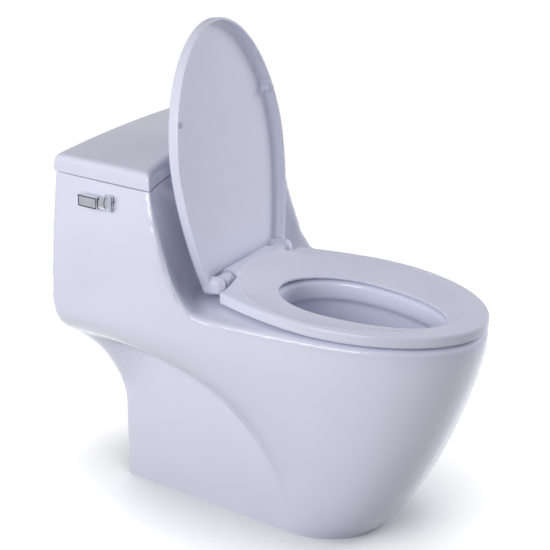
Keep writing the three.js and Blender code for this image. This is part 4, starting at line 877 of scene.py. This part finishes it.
def seat():
    """Seat ring with its dished top, its hump and the knuckle between the hinge posts."""
    rear_out = HINGE_OUT + SEAT_CUT
    rings = []
    for k in range(ROUND_STEPS + 1):
        side, up = round_shares(k / ROUND_STEPS * math.pi / 2, 2)
        inset = SEAT_ROUND / 2 * (1 - up)
        rings.append(seat_ring_points(inset, inset, rear_out, SEAT_Z + SEAT_ROUND * (1 - side)))
    for k in range(ROUND_STEPS + 1):
        side, up = round_shares(k / ROUND_STEPS * math.pi / 2, 2)
        inset = SEAT_ROUND * (1 - side)
        rings.append(seat_ring_points(inset, inset, rear_out, SEAT_TOP_Z - SEAT_ROUND * (1 - up)))
    body = loft("moulded_seat", rings)
    add(body, seat_hump())
    space = HUMP_SIDES[1] + POST_SPACE_SIDE
    space_rear, space_low = HINGE_OUT - POST_SPACE_REAR, SEAT_Z - OVERRUN
    for low, high in ((-space, -KNUCKLE_HALF), (KNUCKLE_HALF, space)):
        cut(body, block("post_space", low, high, space_rear, rear_out, space_low, SEAT_TOP_Z + CUT_BEYOND))
    tongue_front = rear_out + SEAT_CUT
    add(body, block("tongue", -KNUCKLE_HALF, KNUCKLE_HALF, HINGE_OUT, tongue_front, SEAT_Z, SEAT_TOP_Z))
    add(body, round_bar("knuckle", KNUCKLE_RADIUS, -KNUCKLE_HALF, KNUCKLE_HALF, HINGE_OUT, HINGE_Z, sides=96))
    opening = []
    for z, grow in HOLE_FLARES:
        opening.append(oval(*[size + grow for size in HOLE], BOWL_OUT, SEAT_Z + z))
    cut(body, seat_dish(), loft("opening", opening))
    near, far = SEAT_PIN_BORE
    for side in (-1, 1):
        cut(body, round_bar("pin_bore", PIN_RADIUS, side * near, side * far, HINGE_OUT, HINGE_Z, sides=24))
    cast(body, *SEAT_CAST)
    return keep_inside(shade(drop_scraps(body)), "seat_ring")


def cover_half(out):
    """Half width of the lid in front of its widest place."""
    length = SEAT_FRONT_OUT - COVER_FRONT_INSET - SEAT_WIDEST_OUT
    along = (out - SEAT_WIDEST_OUT) / length
    return (SEAT_HALF - COVER_INSET) * (1 - along**SEAT_FRONT_POWER) ** (1 / SEAT_FRONT_POWER)


def buffer_spot(side):
    """Place of a buffer on the shut lid, as x and out."""
    out = HINGE_OUT + BUFFER_DISTANCE
    return side * (cover_half(out) - BUFFER_INSET), out


def open_cover(obj):
    """Turns what was drawn with the lid shut to the open lid."""
    cosine, sine = math.cos(COVER_OPEN), math.sin(COVER_OPEN)
    axis = place(0, HINGE_OUT, HINGE_Z)
    for vertex in obj.data.vertices:
        forward, up = axis.y - vertex.co.y, vertex.co.z - axis.z
        vertex.co.y = axis.y - (forward * cosine - up * sine)
        vertex.co.z = axis.z + forward * sine + up * cosine
    return obj


def cover():
    """Hollow lid with two ears round the hinge pins and a boss for each buffer."""
    rear_out = HINGE_OUT - COVER_REAR

    def ring(inset, height, rear=rear_out):
        return seat_ring_points(COVER_INSET + inset, COVER_FRONT_INSET + inset, rear, HINGE_Z + height)

    def rounded(start, radius, top, rear):
        rings = []
        for k in range(ROUND_STEPS + 1):
            side, up = round_shares(k / ROUND_STEPS * math.pi / 2, 2)
            rings.append(ring(start + radius * (1 - side), top - radius * (1 - up), rear))
        return rings

    lip = [ring(COVER_LIP, COVER_RIM), ring(0, COVER_RIM + COVER_LIP)]
    body = loft("moulded_lid", lip + rounded(0, COVER_ROUND, COVER_TOP, rear_out))
    mouth = ring(COVER_WALL, COVER_RIM - COVER_BEYOND, rear_out - COVER_BEYOND)
    inside = rounded(COVER_WALL, COVER_ROUND, COVER_TOP - COVER_WALL, rear_out - COVER_BEYOND)
    cut(body, loft("lid_inside", [mouth] + inside))
    for side in (-1, 1):
        x, out = buffer_spot(side)
        add(body, post("boss", BUFFER_BOSS, x, out, HINGE_Z + COVER_RIM, HINGE_Z + COVER_TOP - COVER_ROUND))
        pocket_top = HINGE_Z + COVER_RIM + BUFFER_SINK
        cut(body, post("pocket", BUFFER_RADIUS + BUFFER_PLAY, x, out, SEAT_Z, pocket_top))
    ear_front, ear_low, ear_high = HINGE_OUT + EAR_RADIUS, HINGE_Z - EAR_RADIUS, HINGE_Z + COVER_TOP
    near, far = COVER_PIN_BORE
    for side in (-1, 1):
        low, high = sorted((side * EAR_INNER, side * EAR_OUTER))
        ear = block("ear", low, high, rear_out, ear_front, ear_low, ear_high)
        add(body, soften(ear, EAR_ROUND, segments=6))
        cut(body, round_bar("pin_bore", PIN_RADIUS, side * near, side * far, HINGE_OUT, HINGE_Z, sides=24))
    cast(body, *COVER_CAST)
    return keep_inside(shade(open_cover(body)), "seat_lid")


# Small parts
def hinge_post(name, side):
    """Rounded post with two shallow grooves round its barrel."""
    near, far = side * POST_INNER, side * POST_OUTER
    body = round_bar(name, POST_RADIUS, near, far, HINGE_OUT, HINGE_Z, sides=96)
    low, high = sorted((near, far))
    rear, front = HINGE_OUT - POST_RADIUS, HINGE_OUT + POST_RADIUS
    add(body, block("post_foot", low, high, rear, front, POST_FOOT_Z, HINGE_Z))
    for share in POST_GROOVES:
        x = between(near, far, share)
        ring_low, ring_high = x - POST_GROOVE_HALF, x + POST_GROOVE_HALF
        ring = round_bar("groove", POST_RADIUS + 2, ring_low, ring_high, HINGE_OUT, HINGE_Z, sides=96)
        core = POST_RADIUS - POST_GROOVE_DEPTH
        cut(ring, round_bar("core", core, x - 2, x + 2, HINGE_OUT, HINGE_Z, sides=96))
        stop = HINGE_Z - POST_GROOVE_STOP
        cut(ring, block("below", x - 3, x + 3, rear - OVERRUN, front + OVERRUN, DECK_Z - 9, stop))
        cut(body, ring)
    bore, start, end = DAMPER_RADIUS + DAMPER_PLAY, near - side * OVERRUN, far - side * POST_CAP
    cut(body, round_bar("damper_bore", bore, start, end, HINGE_OUT, HINGE_Z))
    cut(body, round_bar("pin_bore", PIN_RADIUS, near, far + side * OVERRUN, HINGE_OUT, HINGE_Z, sides=32))
    cut(body, post("stud_bore", PIN_RADIUS, side * STUD_X, HINGE_OUT, *STUD_BORE_Z, sides=24))
    return soften(body, POST_EDGE, segments=2)


def bumper(name, radius, x, out, z0, z1):
    """Moulded rubber foot with rounded edges."""
    obj = post(name, radius, x, out, z0, z1, sides=40)
    return soften(obj, min(RUBBER_ROUND, (z1 - z0) / 3), segments=4)


def lever_neck(outer):
    """Neck with a D-shaped section that swells from the paddle to a square end over the pivot."""
    _, paddle_end, paddle_low, paddle_high = PADDLE
    rings = []
    for k in range(NECK_ROWS + 1):
        share = k / NECK_ROWS
        out = between(paddle_end - NECK_LAP, NECK_END, share)
        swell = share * share * (3 - 2 * share)
        low = between(paddle_low + NECK_MARGIN, LEVER_Z - NECK_HALF, swell)
        high = between(paddle_high - NECK_MARGIN, LEVER_Z + NECK_RISE, swell)
        bulge = between(*NECK_BULGES, swell)
        arc = []
        for i in range(NECK_STEPS + 1):
            u = -math.cos(i / NECK_STEPS * math.pi)
            arc.append((outer + NECK_FRONT - bulge * (1 - u**4) ** 0.5, out, between(low, high, (u + 1) / 2)))
        rings.append(arc + [(outer + NECK_BACK, out, z) for _, _, z in reversed(arc)])
    return loft("neck", rings)


def lever():
    """Chrome lever: a framed paddle, and a neck with a curved groove before its end."""
    low_box, high_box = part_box("trip_lever")
    outer = low_box.x / MM
    out0, out1, z0, z1 = PADDLE
    paddle = soften(block("chrome_lever", outer, outer + PADDLE_THICK, out0, out1, z0, z1), PADDLE_EDGE)
    frame_groove, panel = [
        block(name, outer - over, outer + depth, out0 + inset, out1 - inset, z0 + inset, z1 - inset)
        for name, over, depth, inset in (
            ("frame_groove", 1, PADDLE_SUNK, PADDLE_FRAME),
            ("panel", 2, PADDLE_SUNK + 0.6, PADDLE_FRAME + PADDLE_GROOVE),
        )
    ]
    cut(paddle, cut(frame_groove, panel))
    neck = lever_neck(outer)
    groove, cap = [
        round_bar(name, radius, outer - over, outer + depth, NECK_CAP + CAP_RADIUS, LEVER_Z, sides=128)
        for name, radius, over, depth in (
            ("groove", CAP_RADIUS + CAP_GROOVE_HALF, 2, 5),
            ("cap", CAP_RADIUS - CAP_GROOVE_HALF, 4, 7),
        )
    ]
    add(paddle, cut(neck, cut(groove, cap)))
    inner = high_box.x / MM
    add(paddle, round_bar("spindle", SPINDLE_RADIUS, outer + OVERRUN, inner, LEVER_OUT, LEVER_Z, sides=40))
    return keep_inside(shade(paddle, angle=30), "trip_lever")


def lever_base():
    """Low plate between lever and china, with the sleeve that carries the spindle."""
    low_box, high_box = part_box("lever_escutcheon")
    outer, inner = low_box.x / MM, high_box.x / MM
    low, high = [LEVER_Z + reach for reach in BASE_REACH]
    plate = block("chrome_lever_base", outer, outer + BASE_THICK, *BASE_OUT, low, high)
    soften(plate, BASE_EDGE, segments=4)
    add(plate, round_bar("sleeve", SLEEVE_RADIUS, outer + 2, inner, LEVER_OUT, LEVER_Z, sides=40))
    cut(plate, round_bar("bore", SLEEVE_BORE, outer - 2, inner + 2, LEVER_OUT, LEVER_Z, sides=40))
    return keep_inside(shade(plate, angle=30), "lever_escutcheon")


# Finishes. The shares say where the clouds change tone, how far the roughness drifts with them,
# how open to the air a groove is before painted shade darkens it, and how much of the own tone is left in that
# shade
# Dark grey of the painted shade in grooves
PAINTED_GROOVE_SHADE = "2A2B33"
CLOUD_SHARES = (0.3, 0.7)
GLOSS_SHARES = (0.85, 1.2)
PAINTED_SHADE_OPEN = (0.45, 0.95)
PAINTED_SHADE_OWN = (0.12, 1.0)


def colour(code):
    """Linear colour from an sRGB hex code."""
    parts = [int(code[i : i + 2], 16) / 255 for i in (0, 2, 4)]
    return tuple(c / 12.92 if c <= 0.04045 else ((c + 0.055) / 1.055) ** 2.4 for c in parts) + (1,)


def new_tree(owner):
    owner.use_nodes = True
    owner.node_tree.nodes.clear()
    return owner.node_tree


def put(tree, kind, settings=None, **sockets):
    """A node with its settings. A socket, n1 or its name, gets a value or another node's output."""
    node = tree.nodes.new("ShaderNode" + kind)
    for key, value in (settings or {}).items():
        setattr(node, key, value)
    for key, value in sockets.items():
        by_number = key[0] == "n" and key[1:].isdigit()
        target = node.inputs[int(key[1:]) if by_number else key.replace("_", " ")]
        if isinstance(value, bpy.types.NodeSocket):
            tree.links.new(value, target)
        else:
            target.default_value = value
    return node


def graded(tree, value, found, wanted):
    """Turns the range that is found into the range that is wanted."""
    (a, b), (low, high) = found, wanted
    grade = put(tree, "MapRange", Value=value, From_Min=a, From_Max=b, To_Min=low, To_Max=high)
    return grade.outputs["Result"]


def per_metre(size_mm):
    return 1 / (size_mm * MM)


def finish(name, light, dark, roughness, cloud_mm, grain_mm, grain_depth_mm, shader=None, painted_shade_mm=0):
    """Colour that drifts between two tones, uneven roughness, a fine relief and painted shade in grooves."""
    material = bpy.data.materials.new(name)
    tree = new_tree(material)
    where = put(tree, "TexCoord").outputs["Object"]
    cloud = put(tree, "TexNoise", Vector=where, Scale=per_metre(cloud_mm), Detail=3.0)
    tones = put(tree, "ValToRGB", Fac=cloud.outputs["Fac"])
    for stop, position, code in zip(tones.color_ramp.elements, CLOUD_SHARES, (dark, light)):
        stop.position, stop.color = position, colour(code)
    grain = put(tree, "TexNoise", Vector=where, Scale=per_metre(grain_mm), Detail=2.0)
    smooth, rough = [roughness * share for share in GLOSS_SHARES]
    gloss = put(tree, "MapRange", Value=cloud.outputs["Fac"], To_Min=smooth, To_Max=rough)
    relief = put(tree, "Bump", Height=grain.outputs["Fac"], Strength=1.0, Distance=grain_depth_mm * MM)
    tone = tones.outputs["Color"]
    # Painted shade: where little air reaches, in grooves and crevices, the tone turns dark grey in place of
    # shade and dark reflections
    if painted_shade_mm:
        shade_openness = put(tree, "AmbientOcclusion", {"samples": 8}, Distance=painted_shade_mm * MM).outputs["AO"]
        own = graded(tree, shade_openness, PAINTED_SHADE_OPEN, PAINTED_SHADE_OWN)
        tone = put(tree, "MixRGB", Fac=own, Color1=colour(PAINTED_GROOVE_SHADE), Color2=tone).outputs["Color"]
    surface = put(
        tree,
        "BsdfPrincipled",
        Base_Color=tone,
        Roughness=gloss.outputs["Result"],
        Normal=relief.outputs["Normal"],
    )
    for key, value in (shader or {}).items():
        surface.inputs[key].default_value = value
    put(tree, "OutputMaterial", Surface=surface.outputs["BSDF"])
    return material


# Name, light and dark tone, roughness, then in millimetres the clouds, the grain and the grain's depth
FINISHES = {
    # Glazed vitreous china: pale lavender white, a hard clear gloss with the slow waviness of a fired glaze
    "china": finish(
        "glazed_vitreous_china", "E7E9F9", "E4E6F6", 0.09, 140, 34, 0.035,
        {"Coat Weight": 0.6, "Coat Roughness": 0.04, "IOR": 1.5},
    ),
    # Moulded PP of seat and lid: the same white, a softer gloss with a very fine moulded skin
    "seat_plastic": finish(
        "moulded_polypropylene", "E6E8F7", "E3E5F4", 0.2, 90, 1.6, 0.004,
        {"IOR": 1.49},
    ),
    # Clear rubber of buffers and pads: milky, light shines a little way into it
    "clear_rubber": finish(
        "clear_tpe_rubber", "D9DCE6", "CDD0DC", 0.35, 12, 0.8, 0.01,
        {"Transmission Weight": 0.35, "IOR": 1.45},
    ),
    # Zinc-plated steel pins and studs: grey with a drawn, slightly uneven plating
    "steel": finish("zinc_plated_steel", "B9BBBE", "9EA1A6", 0.32, 9, 0.7, 0.006, {"Metallic": 1.0}),
    # Chrome-plated zinc of the lever: mirror bright with a trace of polishing, and painted shade darkening its
    # grooves
    "chrome": finish(
        "chrome_plated_zinc", "E3E5EA", "D6D9E0", 0.07, 20, 3, 0.0015,
        {"Metallic": 1.0},
        painted_shade_mm=5,
    ),
    # Brass of arm and screws: warm and slightly tarnished
    "brass": finish("yellow_brass", "C2A15A", "9C7C3E", 0.34, 8, 0.9, 0.008, {"Metallic": 1.0}),
    # Black rubber of gaskets and seals: dull with a coarse skin
    "rubber": finish("black_nitrile_rubber", "303032", "222224", 0.75, 14, 0.7, 0.03, {"IOR": 1.5}),
    # Nylon of nuts and valve bodies: off-white and half matt
    "nylon": finish("natural_nylon", "E9E6DC", "DEDBCF", 0.45, 26, 1.1, 0.012, {"IOR": 1.53}),
    # Blue plastic of the moving valve parts
    "blue_plastic": finish("blue_polypropylene", "3F70AA", "355F95", 0.35, 22, 1.2, 0.01, {"IOR": 1.49}),
}
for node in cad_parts.values():
    for material_slot in node.material_slots:
        material_slot.material = FINISHES[material_slot.material.name]


def show(obj, body, slot_name, *nodes):
    """Puts a piece on its body with its finish, in place of the CAD nodes that it stands for."""
    obj.data.materials.clear()
    obj.data.materials.append(FINISHES[slot_name])
    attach(obj, body)
    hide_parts(*nodes)


show(china_body(), "base", "china", "toilet_body")
show(tank_cover(), "cistern_lid", "china", "tank_lid")
show(seat(), "seat", "seat_plastic", "seat_ring")
show(cover(), "cover", "seat_plastic", "seat_lid")
for side, hand in SIDES:
    show(hinge_post("moulded_hinge_post_" + hand, side), "base", "seat_plastic", "hinge_post_" + hand)
show(lever(), "lever", "chrome", "trip_lever")
show(lever_base(), "base", "chrome", "lever_escutcheon")
for i, (x, out) in enumerate(BUMPER_SPOTS):
    foot = bumper(f"moulded_bumper_{i + 1}", BUMPER_RADIUS, x, out, DECK_Z + BUMPER_PLAY, SEAT_Z - BUMPER_PLAY)
    show(foot, "seat", "clear_rubber", f"seat_bumper_{i + 1}")
pad_low, pad_high = SEAT_TOP_Z + BUFFER_LIFT, HINGE_Z + COVER_RIM + BUFFER_SINK - BUFFER_PLAY
for side, hand in SIDES:
    pad = bumper("moulded_buffer_" + hand, BUFFER_RADIUS, *buffer_spot(side), pad_low, pad_high)
    show(open_cover(pad), "cover", "clear_rubber", "lid_buffer_" + hand)


# Floor, light and camera, in metres. The floor's glow grows with its openness to the air, which paints a
# contact shadow round the foot over the real one, and the floor fades out into the white round it
FLOOR_RADIUS = 4
FLOOR_FADE = (0.75, 1.5)
FLOOR_OPEN = (0.44, 0.97)
FLOOR_GLOW = (0.0, 0.73)
SHADOW_REACH = 0.3
LENS, SENSOR = 98.18, 36
CAMERA_SPOT = (-2.0752, -1.3013, 1.4675)
CAMERA_TARGET = (0, 0.0361, 0.4297)
WHITE = (1, 1, 1, 1)


def aim(obj, target):
    obj.rotation_euler = (Vector(target) - obj.location).to_track_quat("-Z", "Y").to_euler()


def softbox(name, location, target, width, height, power, mirrored_in_glaze=False):
    """Area lamp in watts. Only the key is seen in the glaze, as in the photo."""
    data = bpy.data.lights.new(name, "AREA")
    data.shape, data.size, data.size_y = "RECTANGLE", width, height
    data.energy = power
    obj = bpy.data.objects.new(name, data)
    bpy.context.scene.collection.objects.link(obj)
    obj.location = location
    obj.visible_glossy = mirrored_in_glaze
    aim(obj, target)


softbox("key", (-2.0, 0.12, 1.2), (0, 0.1, 0.45), 1.3, 1.0, 15, True)
softbox("rear_key", (-2.2, 1.3, 1.3), (0, 0.1, 0.45), 1.3, 1.0, 15.5)
softbox("high_key", (-2.0, 0.3, 2.0), (0, 0.1, 0.5), 1.3, 1.0, 6)
softbox("front", (2.0, -2.6, 0.5), (0, 0, 0.4), 1.6, 0.8, 12)
softbox("far_side", (2.4, -1.6, 1.6), (0, 0, 0.6), 1.6, 1.2, 45)

bpy.ops.mesh.primitive_circle_add(vertices=96, radius=FLOOR_RADIUS, fill_type="NGON", location=(0, 0, 0))
floor = bpy.context.object
floor.name = "studio_floor"
floor_paint = bpy.data.materials.new("white_studio_floor")
tree = new_tree(floor_paint)
where = put(tree, "TexCoord").outputs["Object"]
paper = put(tree, "TexNoise", Vector=where, Scale=per_metre(60), Detail=2.0)
paper_tone = put(tree, "MixRGB", Fac=paper.outputs["Fac"], Color1=colour("EAEAEB"), Color2=colour("E7E7E9"))
rays = put(tree, "LightPath").outputs
direct, reflected = rays["Is Camera Ray"], rays["Is Glossy Ray"]
seen = put(tree, "Math", {"operation": "MAXIMUM"}, n0=direct, n1=reflected).outputs[0]
bounce = put(tree, "MixRGB", Fac=seen, Color1=colour("A6A6AA"), Color2=paper_tone.outputs["Color"])
matt = put(tree, "BsdfDiffuse", Color=bounce.outputs["Color"])
# Painted shadow: the glow that the camera sees dims where the toilet shuts off the air round it, on top of the
# real shadow
open_air = put(tree, "AmbientOcclusion", {"samples": 8}, Distance=SHADOW_REACH).outputs["AO"]
glow_with_painted_shadow = put(tree, "Emission", Color=WHITE, Strength=graded(tree, open_air, FLOOR_OPEN, FLOOR_GLOW))
dark = put(tree, "Emission", Color=WHITE, Strength=0.0)
seen_glow = put(tree, "MixShader", Fac=seen, n1=dark.outputs[0], n2=glow_with_painted_shadow.outputs[0])
lit = put(tree, "AddShader", n0=matt.outputs[0], n1=seen_glow.outputs[0])
distance = put(tree, "VectorMath", {"operation": "LENGTH"}, n0=where).outputs["Value"]
far = graded(tree, distance, FLOOR_FADE, (0, 1))
clear = put(tree, "BsdfTransparent")
ground = put(tree, "MixShader", Fac=far, n1=lit.outputs[0], n2=clear.outputs[0])
put(tree, "OutputMaterial", Surface=ground.outputs[0])
floor.data.materials.append(floor_paint)

world = bpy.data.worlds.new("studio")
bpy.context.scene.world = world
tree = new_tree(world)
rays = put(tree, "LightPath").outputs
room = put(tree, "Background", Color=colour("ECEDF4"), Strength=0.3)
mirrored_room = put(tree, "Background", Color=colour("F2F3FA"), Strength=0.7)
white = put(tree, "Background", Color=WHITE, Strength=1.0)
sky = room.outputs[0]
for kind, other in (("Glossy", mirrored_room), ("Transmission", white), ("Camera", white)):
    sky = put(tree, "MixShader", Fac=rays[f"Is {kind} Ray"], n1=sky, n2=other.outputs[0]).outputs[0]
put(tree, "OutputWorld", Surface=sky)

camera_data = bpy.data.cameras.new("photo_camera")
camera_data.lens, camera_data.sensor_width = LENS, SENSOR
camera = bpy.data.objects.new("photo_camera", camera_data)
bpy.context.scene.collection.objects.link(camera)
camera.location = CAMERA_SPOT
aim(camera, CAMERA_TARGET)
bpy.context.scene.camera = camera
bpy.context.scene.view_settings.view_transform = "Standard"
